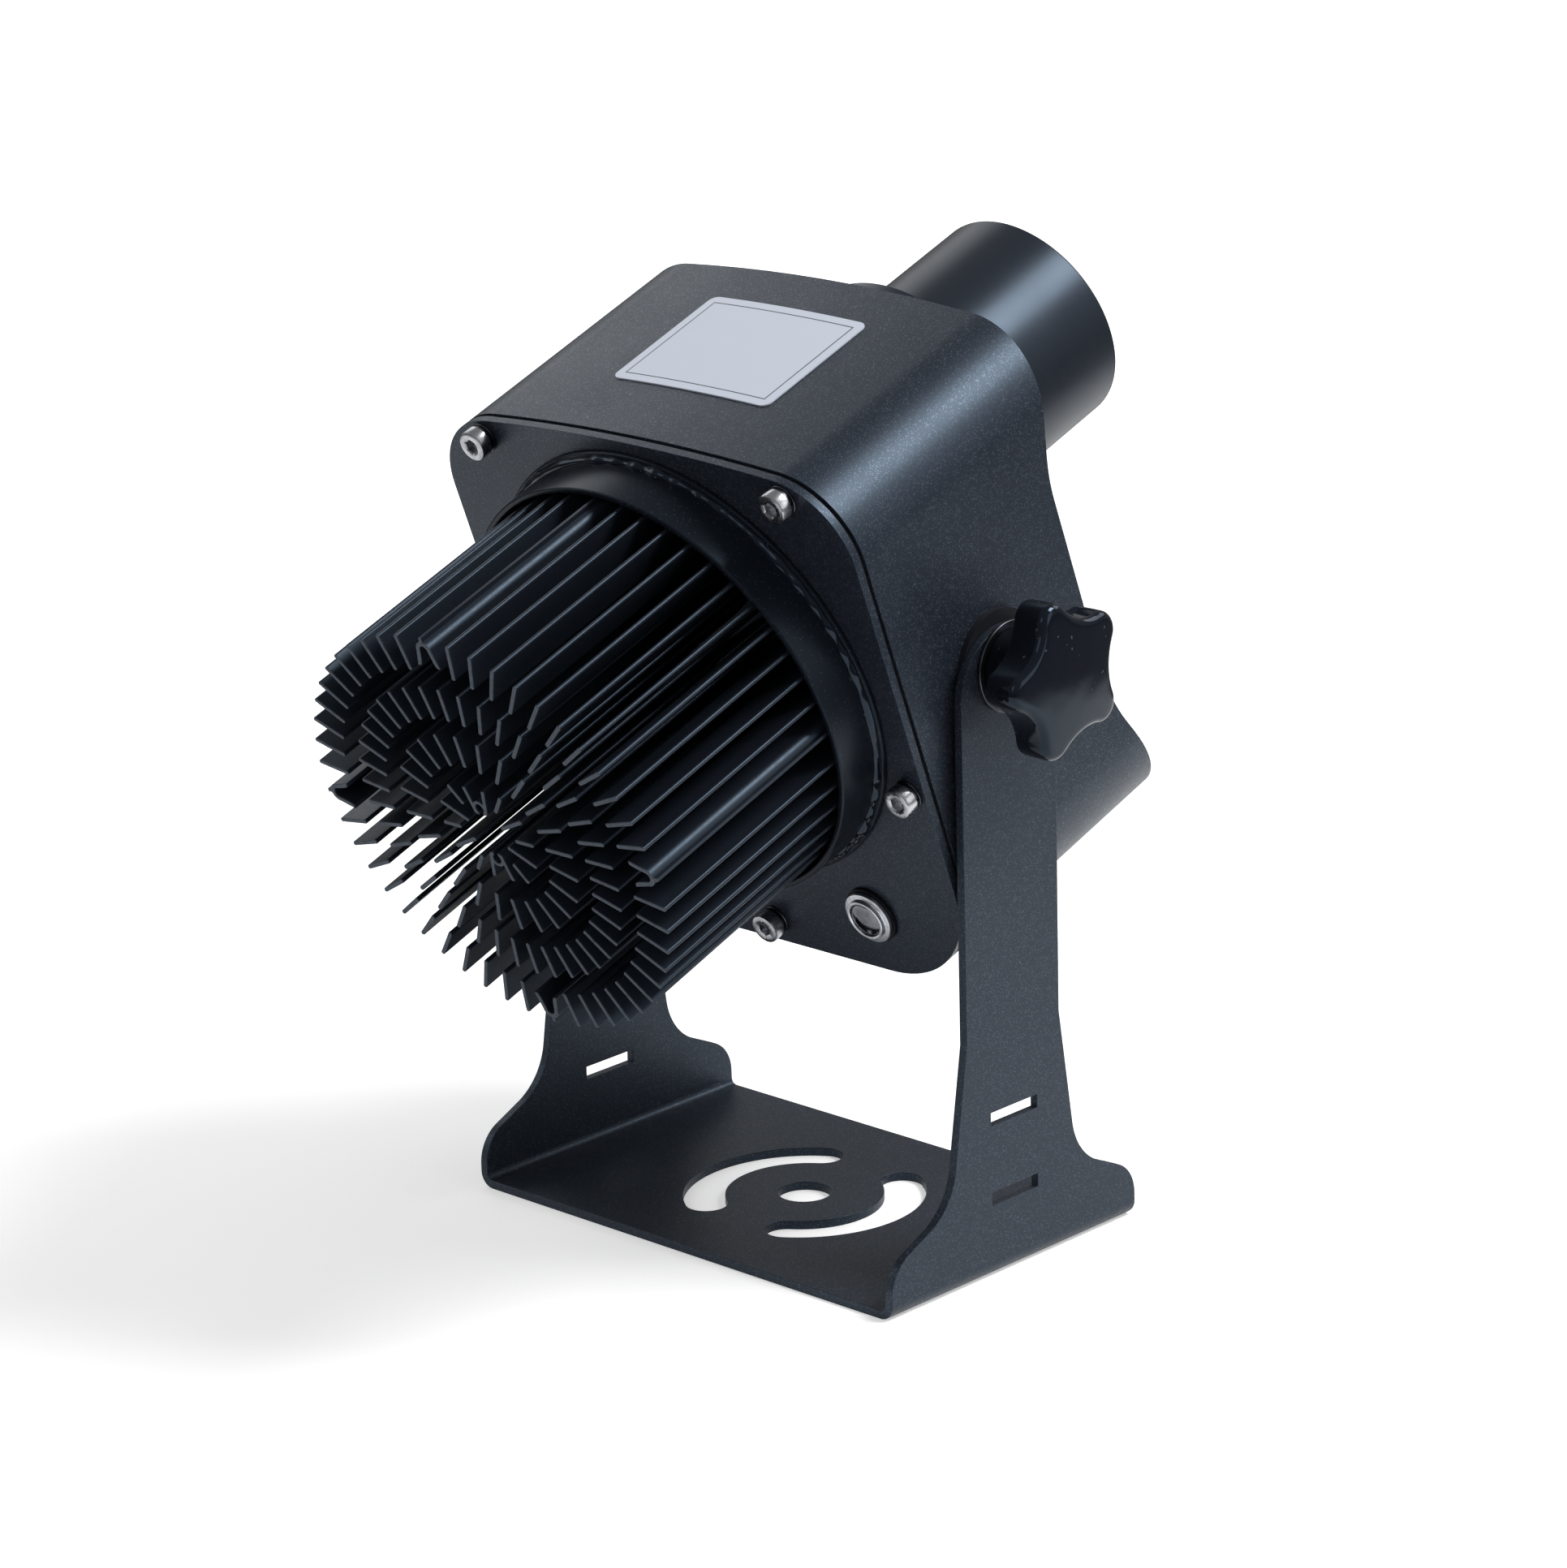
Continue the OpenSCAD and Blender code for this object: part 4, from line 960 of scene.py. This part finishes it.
def show_softened(
    head: Head, name: str, body: str, edge: float, finish: Finish, segments: int = 3
) -> None:
    """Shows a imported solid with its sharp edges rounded.

    Args:
        head: The head, which knows the solids.
        name: Name of the solid.
        body: Body that it moves with.
        edge: Width of the rounding.
        finish: Its finish.
        segments: Facets of the rounding.
    """
    show(softened(head.node(name), edge, segments), name + "_soft", finish, body, name)


@dataclass
class Sheetwork:
    """The bent yoke, the casing, the rear plate and the collar: powder coated pieces with soft edges."""

    head: Head
    finishes: Finishes
    coated_edges: tuple = (("yoke", "yoke", 0.55), ("casing", "head", 0.8), ("rear_plate", "head", 0.7))
    collar_edge: float = 0.45

    def build(self) -> None:
        """Makes the four pieces."""
        for name, body, edge in self.coated_edges:
            show_softened(self.head, name, body, edge, self.finishes.coat)
        show_softened(self.head, "heat_sink_collar", "head", self.collar_edge, self.finishes.satin)


@dataclass(frozen=True)
class Turns:
    """How copies of one section stand around an axis: how many, in which groups, and at which degrees."""

    count: int
    group_size: int
    group_turn: float
    first_turn: float
    step: float = 0.0


@dataclass
class HeatSink:
    """The turned base with its rings of blades and screw ports."""

    head: Head
    finishes: Finishes
    blade_t: float = 1.05
    groove_pitch: float = 0.7
    groove_depth: float = 0.09
    end_edge: float = 0.12
    base_t: float = 8.0
    axis_z: float = 7.0
    base_edge: float = 0.4
    outer_r: float = 48.8
    blade_rings: tuple = (
        (48.8, 8.6, Turns(44, 11, 90.0, 9.0, 7.2)),
        (36.2, 8.0, Turns(40, 40, 0.0, 9.0, 9.0)),
        (24.6, 7.9, Turns(24, 24, 0.0, 15.0, 15.0)),
    )
    core_r: float = 13.3
    core_blades: tuple = ((5.3, (36.0, 90.0, 145.0)), (8.0, (64.5, 116.0)))
    port_ring_r: float = 45.6
    port_r: float = 2.2
    port_hole_r: float = 1.15
    core_port_r: float = 6.4

    def blade_outline(self, outer: float, length: float) -> Outline:
        """Section of a blade that points up: round tips and fine grooves on both faces.

        Args:
            outer: Distance of the tip from the axis.
            length: Length of the section.

        Returns:
            The outline, anticlockwise.
        """
        half = self.blade_t / 2
        low, high = outer - length + half, outer - half
        count = max(2, int((high - low) / self.groove_pitch)) * 2
        rise = [low + (high - low) * k / count for k in range(1, count)]
        dips = [half - (self.groove_depth if k % 2 else 0.0) for k in range(1, count)]
        right = list(zip(dips, rise))
        left = [(-x, z) for x, z in reversed(right)]
        return right + arc((0, high), half, 0, 180, 6) + left + arc((0, low), half, 180, 360, 6)

    def port_outline(self) -> Outline:
        """Section of an outer screw port: an open ring with splayed legs and a nib outside."""
        foot_in, foot_out, neck_half, nib = 2.3, 3.25, 1.786, 0.4
        foot_z, neck_z = self.port_ring_r - 3.8, self.port_ring_r - 2.65
        middle = (0.0, self.port_ring_r)
        nib_turn = math.degrees(math.asin(nib / self.port_r))
        outer = arc(middle, self.port_r, 0, 90 - nib_turn, 8) + [(nib, self.outer_r), (-nib, self.outer_r)]
        outer += arc(middle, self.port_r, 90 + nib_turn, 180, 8)
        inner = arc(middle, self.port_hole_r, 180, 0, 14)
        left = [(-foot_out, foot_z), (-foot_in, foot_z), (-neck_half, neck_z)]
        return [(foot_in, foot_z), (foot_out, foot_z)] + outer + left + inner + [(neck_half, neck_z)]

    def core_port_outline(self) -> Outline:
        """Section of an inner screw port: two slanted legs joined by an open ring."""
        ring_r, ring_turn, slit_turn = 1.9, 38.5, 55.6
        middle = (0.0, self.core_port_r)
        leg = [(0.65, 4.75), (1.35, 4.95), (1.875, 5.15), (3.275, 11.3), (2.325, 11.3)]
        over = arc(middle, ring_r, ring_turn, 180 - ring_turn, 10)
        inner = arc(middle, self.port_hole_r, 180 + slit_turn, -slit_turn, 16)
        return leg + over + [(-x, z) for x, z in reversed(leg)] + inner

    def build(self) -> None:
        """Makes the whole heat sink as one piece."""
        low, high = self.head.reach("heat_sink")
        blade_top = high.y - self.base_t / 2
        around = around_pattern()
        material = self.finishes.sink.material()
        work = bmesh.new()

        def copies(outline: Outline, turns: Turns) -> None:
            """Adds turned copies of one section to the piece."""
            shape = shape_object(Shell().prism(outline, low.y, blade_top, self.end_edge), "section")
            result = around.run(bpy.data.meshes.new("start"), {
                "Shape": shape, "Count": turns.count, "Group Size": turns.group_size,
                "Group Turn": math.radians(turns.group_turn), "First Turn": math.radians(turns.first_turn),
                "Step": math.radians(turns.step), "Material": material,
            })
            work.from_mesh(result)
            bpy.data.objects.remove(shape)

        for outer, length, turns in self.blade_rings:
            copies(self.blade_outline(outer, length), turns)
        copies(self.port_outline(), Turns(4, 1, 90.0, 0.0))
        copies(self.core_port_outline(), Turns(2, 1, 180.0, 0.0))
        for length, turns in self.core_blades:
            for turn in turns:
                copies(self.blade_outline(self.core_r, length), Turns(2, 1, -2 * turn, turn))
        foot, rim, edge = high.y - self.base_t, self.outer_r, self.base_edge
        base = Shell().turned([
            (AXIS_R, foot), (rim - edge, foot), (rim, foot + edge),
            (rim, high.y - edge), (rim - edge, high.y), (AXIS_R, high.y),
        ])
        work.from_mesh(base.data("sink_base", LOCAL))
        data = smooth_mesh(work, "heat_sink_shape", SHARP_ANGLE)
        place = self.head.place.shifted(0, 0, self.axis_z)
        show(moved(data, place), "heat_sink_blades", self.finishes.sink, "head", "heat_sink")


@dataclass
class Fasteners:
    """The five rear screws with their washers."""

    head: Head
    finishes: Finishes
    head_r: float = 3.5
    head_h: float = 2.8
    shank_r: float = 2.0
    shank_len: float = 14.0
    edge: float = 0.55
    socket_flats: float = 3.0
    socket_depth: float = 1.9
    socket_lip: float = 0.45
    socket_chamfer: float = 0.25
    washer_gap: float = 0.15
    washer_edge: float = 0.15
    spring_r: float = 3.2
    spring_t: float = 1.0
    spring_slit: float = 7.0
    spring_rise: float = 0.12
    flat_r: float = 3.5
    flat_t: float = 0.5
    steps: int = 48

    def screw(self) -> Shell:
        """Cap screw along Y with its head towards the back and its underside at zero."""

        def ring(radius: float, y: float) -> Ring:
            """Round ring."""
            return upright(arc((0, 0), radius, 0, 360 - 360 / self.steps, self.steps - 1), y)

        def hexagon(flats: float, y: float) -> Ring:
            """Six-sided ring with as many points as the round ones."""
            points = []
            for k in range(self.steps):
                turn = math.tau * k / self.steps
                off = (turn + math.pi / 6) % (math.pi / 3) - math.pi / 6
                radius = flats / 2 / math.cos(off)
                points.append(Vector((radius * math.cos(turn), y, radius * math.sin(turn))))
            return points

        top = -self.head_h
        rings = [
            ring(self.shank_r, self.shank_len), ring(self.shank_r, 0), ring(self.head_r, 0),
            ring(self.head_r, top + self.edge), ring(self.head_r - self.edge * 0.3, top + self.edge * 0.3),
            ring(self.head_r - self.edge, top), ring(self.socket_flats / 2 + self.socket_lip, top),
            hexagon(self.socket_flats, top + self.socket_chamfer),
            hexagon(self.socket_flats, top + self.socket_depth),
        ]
        return Shell().loft(rings)

    def washer(self, outer: float, thickness: float, slit: float = 0.0, step: float = 0.0) -> Shell:
        """Washer with soft edges, its face towards the plate at zero.

        Args:
            outer: Outside radius.
            thickness: Thickness.
            slit: Opening in degrees, for a spring washer.
            step: Rise along the turn, for a spring washer.

        Returns:
            The shell.
        """
        inner, edge = self.shank_r + self.washer_gap, min(self.washer_edge, thickness / 4)
        section = [
            (inner, 0.0), (outer - edge, 0.0), (outer, -edge), (outer, edge - thickness),
            (outer - edge, -thickness), (inner, -thickness),
        ]
        end = 360 - (slit / 2 if slit else 360 / self.steps)
        turns = arc((0, 0), 1.0, slit / 2, end, self.steps - 1)
        rings = []
        for k, (cos, sin) in enumerate(turns):
            rise = step * (k / (self.steps - 1) - 0.5)
            rings.append([Vector((r * cos, y + rise, r * sin)) for r, y in section])
        return Shell().loft(rings, closed=not slit)

    def build(self) -> None:
        """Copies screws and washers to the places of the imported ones."""
        plate = self.head.reach("rear_plate")[0].y
        places = self.screw_places()
        pattern = places_pattern()
        under = plate - self.flat_t - self.spring_t
        spring = self.washer(self.spring_r, self.spring_t, self.spring_slit, self.spring_rise)
        flat = self.washer(self.flat_r, self.flat_t)
        rows = (
            ("rear_cap_screws", "rear_screws", self.screw(), under, self.finishes.steel),
            ("rear_spring_washers", "spring_washers", spring, plate - self.flat_t, self.finishes.washer),
            ("rear_flat_washers", "flat_washers", flat, plate, self.finishes.washer),
        )
        for name, node, shell, y, finish in rows:
            shape = shape_object(shell, name + "_shape")
            spots = bpy.data.meshes.new(name + "_spots")
            spots.from_pydata([(x, y, z) for x, z in places], [], [])
            data = pattern.run(spots, {"Shape": shape, "Material": finish.material()})
            bpy.data.objects.remove(shape)
            show(moved(data, self.head.place), name, finish, "head", node)

    def screw_places(self) -> Outline:
        """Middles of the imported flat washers, in X and Z of the head.

        Returns:
            One place for each screw.
        """
        back = self.head.place.matrix.inverted()
        work = bmesh.new()
        work.from_mesh(self.head.node("flat_washers").data)
        bmesh.ops.remove_doubles(work, verts=work.verts, dist=MERGE_DISTANCE)
        left = set(work.verts)
        places = []
        while left:
            island = {left.pop()}
            front = set(island)
            while front:
                near = {e.other_vert(v) for v in front for e in v.link_edges} - island
                island |= near
                front = near
            left -= island
            points = [back @ v.co for v in island]
            spans = [(min(p[k] for p in points), max(p[k] for p in points)) for k in (0, 2)]
            places.append(tuple(sum(span) / 2 for span in spans))
        work.free()
        return sorted(places)


@dataclass
class Knobs:
    """The two lobed hand knobs."""

    head: Head
    finishes: Finishes
    tip_r: float = 17.6
    lobes: int = 5
    lobe_tip_r: float = 4.2
    hollow_r: float = 13.0
    first_lobe: float = 16.0
    edge: float = 1.7
    back_edge: float = 1.0
    hub_r: float = 8.6
    hub_top_r: float = 9.0
    hub_len: float = 7.6
    hub_edge: float = 0.4
    root_len: float = 0.8
    root_share: float = 0.85
    washer_edge: float = 0.2
    dome: float = 1.2
    draft: float = 0.25

    def outline(self) -> Outline:
        """Outline of the lobes: round tips joined by hollows.

        Returns:
            The outline in Y and Z of the head, anticlockwise.
        """
        step = 360 / self.lobes
        tip_ring = self.tip_r - self.lobe_tip_r
        reach = self.lobe_tip_r - self.hollow_r
        half = math.radians(step / 2)
        hollow_ring = (tip_ring**2 - reach**2) / (2 * (tip_ring * math.cos(half) + reach))
        hollow_arc = hollow_ring - self.hollow_r
        across = hollow_ring * math.sin(half)
        along = hollow_ring * math.cos(half) - tip_ring
        lean = math.degrees(math.atan2(across, along))
        points = []
        for k in range(self.lobes):
            turn = self.first_lobe + k * step
            points += arc(polar(tip_ring, turn), self.lobe_tip_r, turn - lean, turn + lean, 16)
            hollow = polar(hollow_ring, turn + step / 2)
            points += arc(hollow, hollow_arc, turn + lean + 180, turn + step - lean + 180, 14)[1:-1]
        return points

    def build(self) -> None:
        """Makes both knobs."""
        outline = self.outline()
        for side in Side:
            word = side.name.lower()
            body, node, washer = word + "_knob", "knob_" + word, "knob_washer_" + word
            low, high = self.head.reach(node)
            near, far = (low.x, high.x) if side is Side.RIGHT else (-high.x, -low.x)
            place = self.head.place if side is Side.RIGHT else self.head.place.mirrored()
            data = self.knob(outline, near, far).data(node + "_shape", place, 60.0)
            show(data, node + "_moulded", self.finishes.knob, body, node)
            show_softened(self.head, washer, word + "_washer", self.washer_edge, self.finishes.washer, 2)

    def knob(self, outline: Outline, near: float, far: float) -> Shell:
        """One knob along X, from the washer outwards.

        Args:
            outline: Outline of the lobes.
            near: X of the hub's foot.
            far: X of the middle of the face.

        Returns:
            The shell.
        """
        lobe_x = near + self.hub_len
        face_x = far - self.dome

        def level(distance: float, x: float) -> Ring:
            """The outline at one X, made smaller by a distance."""
            return [Vector((x, y, z)) for y, z in inset(outline, distance)]

        def domed(points: Outline, drop: float) -> Ring:
            """Points on the domed face, lowered by a distance."""
            steepness = self.dome / self.tip_r**2
            return [Vector((far - steepness * (y * y + z * z) - drop, y, z)) for y, z in points]

        def blend(radius: float, share: float, x: float) -> Ring:
            """Ring between a circle and the outline."""
            ring = []
            for y, z in inset(outline, self.back_edge):
                point = Vector((y, z))
                ring.append(Vector((x, *(point.normalized() * radius).lerp(point, share))))
            return ring

        rings = [
            blend(self.hub_r - self.hub_edge, 0.0, near), blend(self.hub_r, 0.0, near + self.hub_edge),
            blend(self.hub_top_r, 0.0, lobe_x - self.root_len),
            blend(self.hub_top_r + self.hub_edge, 0.0, lobe_x - self.root_len / 8),
            blend(self.hub_top_r, self.root_share, lobe_x),
            level(self.back_edge * 0.3, lobe_x + self.back_edge * 0.3),
            level(self.draft * 0.4, lobe_x + self.back_edge), level(0.0, (lobe_x + face_x) / 2),
        ]
        for k in range(7):
            turn = math.radians(15 * k)
            rim = inset(outline, self.edge * (1 - math.cos(turn)))
            rings.append(domed(rim, self.edge * (1 - math.sin(turn))))
        for tenths in range(9, 0, -1):
            rings.append(domed([(y * tenths / 10, z * tenths / 10) for y, z in rim], 0.0))
        return Shell().loft(rings)


@dataclass
class Optics:
    """Lens mount, barrel and the other turned pieces at the front."""

    head: Head
    finishes: Finishes
    edges: tuple = (
        ("lens_mount", "head", 0.5), ("front_plate", "head", 0.3), ("lens_barrel", "barrel", 0.25),
        ("front_lens_ring", "barrel", 0.2),
    )

    def build(self) -> None:
        """Makes the turned pieces with soft edges."""
        for name, body, edge in self.edges:
            show_softened(self.head, name, body, edge, self.finishes.anodised, 2)


@dataclass
class Fittings:
    """Push button, cable gland and sealant."""

    head: Head
    finishes: Finishes
    bezel_edge: float = 0.25
    gland_edge: float = 0.4
    bead_lumps: int = 11
    bead_rough_turn: float = 35.0
    bead_steps: int = 480
    bead_section: int = 12
    bead_r: float = 1.25
    bead_sunk: float = 0.3
    bead_sharp: float = 80.0
    cap_sag: float = 0.9
    cap_edge: float = 0.25
    cap_long: float = 4.2
    stem_r: float = 2.3
    seed: int = 4

    def build(self) -> None:
        """Makes the fittings."""
        show_softened(self.head, "button_bezel", "head", self.bezel_edge, self.finishes.bezel)
        for name in ("gland_body", "gland_cap"):
            show_softened(self.head, name, "head", self.gland_edge, self.finishes.nylon)
        self.cap()
        self.bead()

    def cap(self) -> None:
        """Domed cap of the push button, with its stem."""
        low, high = self.head.reach("button_cap")
        radius, edge = (high.x - low.x) / 2, self.cap_edge
        ball = (radius**2 + self.cap_sag**2) / 2 / self.cap_sag
        rounds = [(radius - edge) * k / 14 for k in range(1, 15)]
        dome = [(r, low.y + ball - math.sqrt(ball**2 - r**2)) for r in rounds]
        rim = dome[-1][1]
        foot = low.y + self.cap_long
        profile = dome + [
            (radius - 0.3 * edge, rim + 0.4 * edge), (radius, rim + edge), (radius, foot),
            (self.stem_r, foot), (self.stem_r, high.y),
        ]
        middle = self.head.place.shifted((low.x + high.x) / 2, 0, (low.z + high.z) / 2)
        data = Shell().turned(profile).data("cap_shape", middle)
        show(data, "button_cap_domed", self.finishes.cap, "button", "button_cap")

    def bead(self) -> None:
        """Lumpy bead of sealant in the corner at the collar's foot."""
        low, high = self.head.reach("sealant_bead")
        draw = random.Random(self.seed)
        waves = [
            (draw.randint(3, 60), draw.uniform(0, math.tau), draw.uniform(0.02, 0.075))
            for _ in range(self.bead_lumps)
        ]
        middle_z = (low.z + high.z) / 2
        corner_r = (high.x - low.x) / 2 - (high.y - low.y)
        rings = []
        for k in range(self.bead_steps):
            turn = math.tau * k / self.bead_steps
            rough = 1 + math.cos(turn - math.radians(self.bead_rough_turn))
            swell = 1 + rough * sum(size * math.sin(count * turn + start) for count, start, size in waves)
            radius = self.bead_r * swell
            section = [(corner_r - self.bead_sunk, high.y + self.bead_sunk)]
            section += arc((corner_r, high.y), radius, 5, -95, self.bead_section)
            rings.append([Vector((r * math.cos(turn), y, r * math.sin(turn))) for r, y in section])
        place = self.head.place.shifted(0, 0, middle_z)
        data = Shell().loft(rings, closed=True).data("sealant_shape", place, self.bead_sharp)
        show(data, "sealant_bead_lumpy", self.finishes.sealant, "head", "sealant_bead")


@dataclass
class Lamp:
    """A soft box of the studio."""

    name: str
    place: tuple[float, float, float]
    size: tuple[float, float]
    power: float


@dataclass
class Studio:
    """Camera, lamps, floor and world."""

    azimuth: float = 43.588
    elevation: float = 17.332
    roll: float = -1.492
    camera_place: tuple[float, float, float] = (0.81265, -0.85717, 0.46606)
    focal_px: float = 6983.07
    image_w: float = 1931.0
    sensor_w: float = 36.0
    target: tuple[float, float, float] = (0.0, 0.0, 0.1)
    lamps: tuple = (
        Lamp("top_box", (0.62, 0.46, 1.12), (0.5, 0.5), 15.5),
        Lamp("back_left_box", (-1.1, 0.5, 0.9), (0.7, 0.7), 2.2),
        Lamp("back_box", (0.35, 1.0, 0.9), (0.7, 0.5), 3.0),
        Lamp("left_box", (-1.1, -0.7, 0.75), (0.7, 1.0), 3.0),
        Lamp("right_box", (1.2, 0.35, 0.5), (0.6, 0.8), 2.2),
        Lamp("camera_box", (0.5, -1.5, 1.0), (0.7, 0.7), 2.0),
    )
    world_strength: float = 0.37
    world_gloss: float = 0.25
    floor_glow: float = 0.4
    floor_fade: tuple[float, float] = (0.45, 1.1)
    gloss_share: float = 0.28
    gloss_fade: tuple[float, float] = (0.41, 0.5)
    floor_size: float = 14.0
    floor_colour: tuple[float, float, float] = (0.8, 0.8, 0.8)
    floor_dim: tuple[float, float, float] = (0.1, 0.1, 0.1)
    floor_roughness: float = 0.9
    clip_end: float = 50.0

    def build(self) -> None:
        """Sets up everything around the object."""
        self.camera()
        for lamp in self.lamps:
            self.lamp(lamp)
        self.floor()
        self.world()
        bpy.context.scene.view_settings.view_transform = "Standard"

    def camera(self) -> None:
        """Puts the camera where the photograph was taken from."""
        data = bpy.data.cameras.new("camera")
        data.sensor_fit = "HORIZONTAL"
        data.sensor_width = self.sensor_w
        data.lens = self.focal_px / self.image_w * self.sensor_w
        data.clip_end = self.clip_end
        camera = bpy.data.objects.new("camera", data)
        bpy.context.scene.collection.objects.link(camera)
        turn = Matrix.Rotation(math.radians(self.azimuth), 4, "Z")
        tip = Matrix.Rotation(math.radians(90 - self.elevation), 4, "X")
        lean = Matrix.Rotation(math.radians(self.roll), 4, "Z")
        camera.matrix_world = Matrix.Translation(self.camera_place) @ turn @ tip @ lean
        bpy.context.scene.camera = camera

    def lamp(self, lamp: Lamp) -> None:
        """Adds one soft box that faces the object.

        Args:
            lamp: Its name, place, size and power.
        """
        data = bpy.data.lights.new(lamp.name, "AREA")
        data.shape = "RECTANGLE"
        data.size, data.size_y = lamp.size
        data.energy = lamp.power
        box = bpy.data.objects.new(lamp.name, data)
        box.location = lamp.place
        box.rotation_euler = (Vector(lamp.place) - Vector(self.target)).to_track_quat("Z", "Y").to_euler()
        bpy.context.scene.collection.objects.link(box)

    def floor(self) -> None:
        """Lays the pale floor, which shows white to the camera and keeps the soft shadow."""
        half = self.floor_size / 2
        data = bpy.data.meshes.new("floor")
        corners = [(-half, -half, 0), (half, -half, 0), (half, half, 0), (-half, half, 0)]
        data.from_pydata(corners, [], [(0, 1, 2, 3)])
        floor = bpy.data.objects.new("floor", data)
        bpy.context.scene.collection.objects.link(floor)
        tree = ShaderTree("pale_floor")
        tree.set(Roughness=self.floor_roughness, Specular_IOR_Level=0.0)
        distance = tree.add("ShaderNodeVectorMath", {"operation": "LENGTH"}, {0: tree.coordinates()})
        radius = Value(tree, distance.outputs["Value"])
        strength = tree.seen() * (self.floor_glow + radius.ramp(*self.floor_fade) * (1 - self.floor_glow))
        glossy, far = tree.ray("Is Glossy Ray"), radius.ramp(*self.gloss_fade)
        strength = strength.largest(glossy * (1 - far) * self.gloss_share)
        tree.set(Base_Color=tree.blend(glossy * far, rgba(self.floor_colour), rgba(self.floor_dim)))
        glow = tree.add("ShaderNodeEmission", {}, {"Color": rgba((1, 1, 1)), "Strength": strength})
        both = tree.add("ShaderNodeAddShader", {}, {0: tree.shader.outputs[0], 1: glow.outputs[0]})
        tree.feed(tree.output.inputs["Surface"], both.outputs[0])
        data.materials.append(tree.material)

    def world(self) -> None:
        """Lights the object softly from all sides, with a white backdrop."""
        world = bpy.data.worlds.new("studio")
        bpy.context.scene.world = world
        world.use_nodes = True
        tree = Nodes(world.node_tree)
        glossy = tree.ray("Is Glossy Ray")
        indirect = (glossy * self.world_gloss).largest((1 - glossy) * self.world_strength)
        strength = tree.seen().largest(indirect)
        sky = tree.add("ShaderNodeBackground", {}, {"Color": rgba((1, 1, 1)), "Strength": strength})
        tree.add("ShaderNodeOutputWorld", {}, {"Surface": sky.outputs[0]})


def dress_nodes(head: Head, finishes: Finishes) -> None:
    """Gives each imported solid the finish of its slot.

    Args:
        head: The head, which knows the solids.
        finishes: All finishes.
    """
    by_slot = finishes.plain()
    for row in head.frame["record"]["subparts"]:
        node = head.node(row["node"])
        finish = by_slot[row["material_slot"]]
        for k in range(max(1, len(node.material_slots))):
            if k < len(node.material_slots):
                node.material_slots[k].material = finish.material()
            else:
                node.data.materials.append(finish.material())


def main() -> None:
    """Builds the studio and every sub-assembly in order."""
    logging.basicConfig(level=logging.INFO, format="%(name)s: %(message)s")
    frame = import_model()
    Studio().build()
    head = Head(frame)
    finishes = Finishes(head)
    dress_nodes(head, finishes)
    for assembly in (Sheetwork, HeatSink, Fasteners, Knobs, Optics, Fittings):
        assembly(head, finishes).build()


if __name__ == "__main__":
    main()
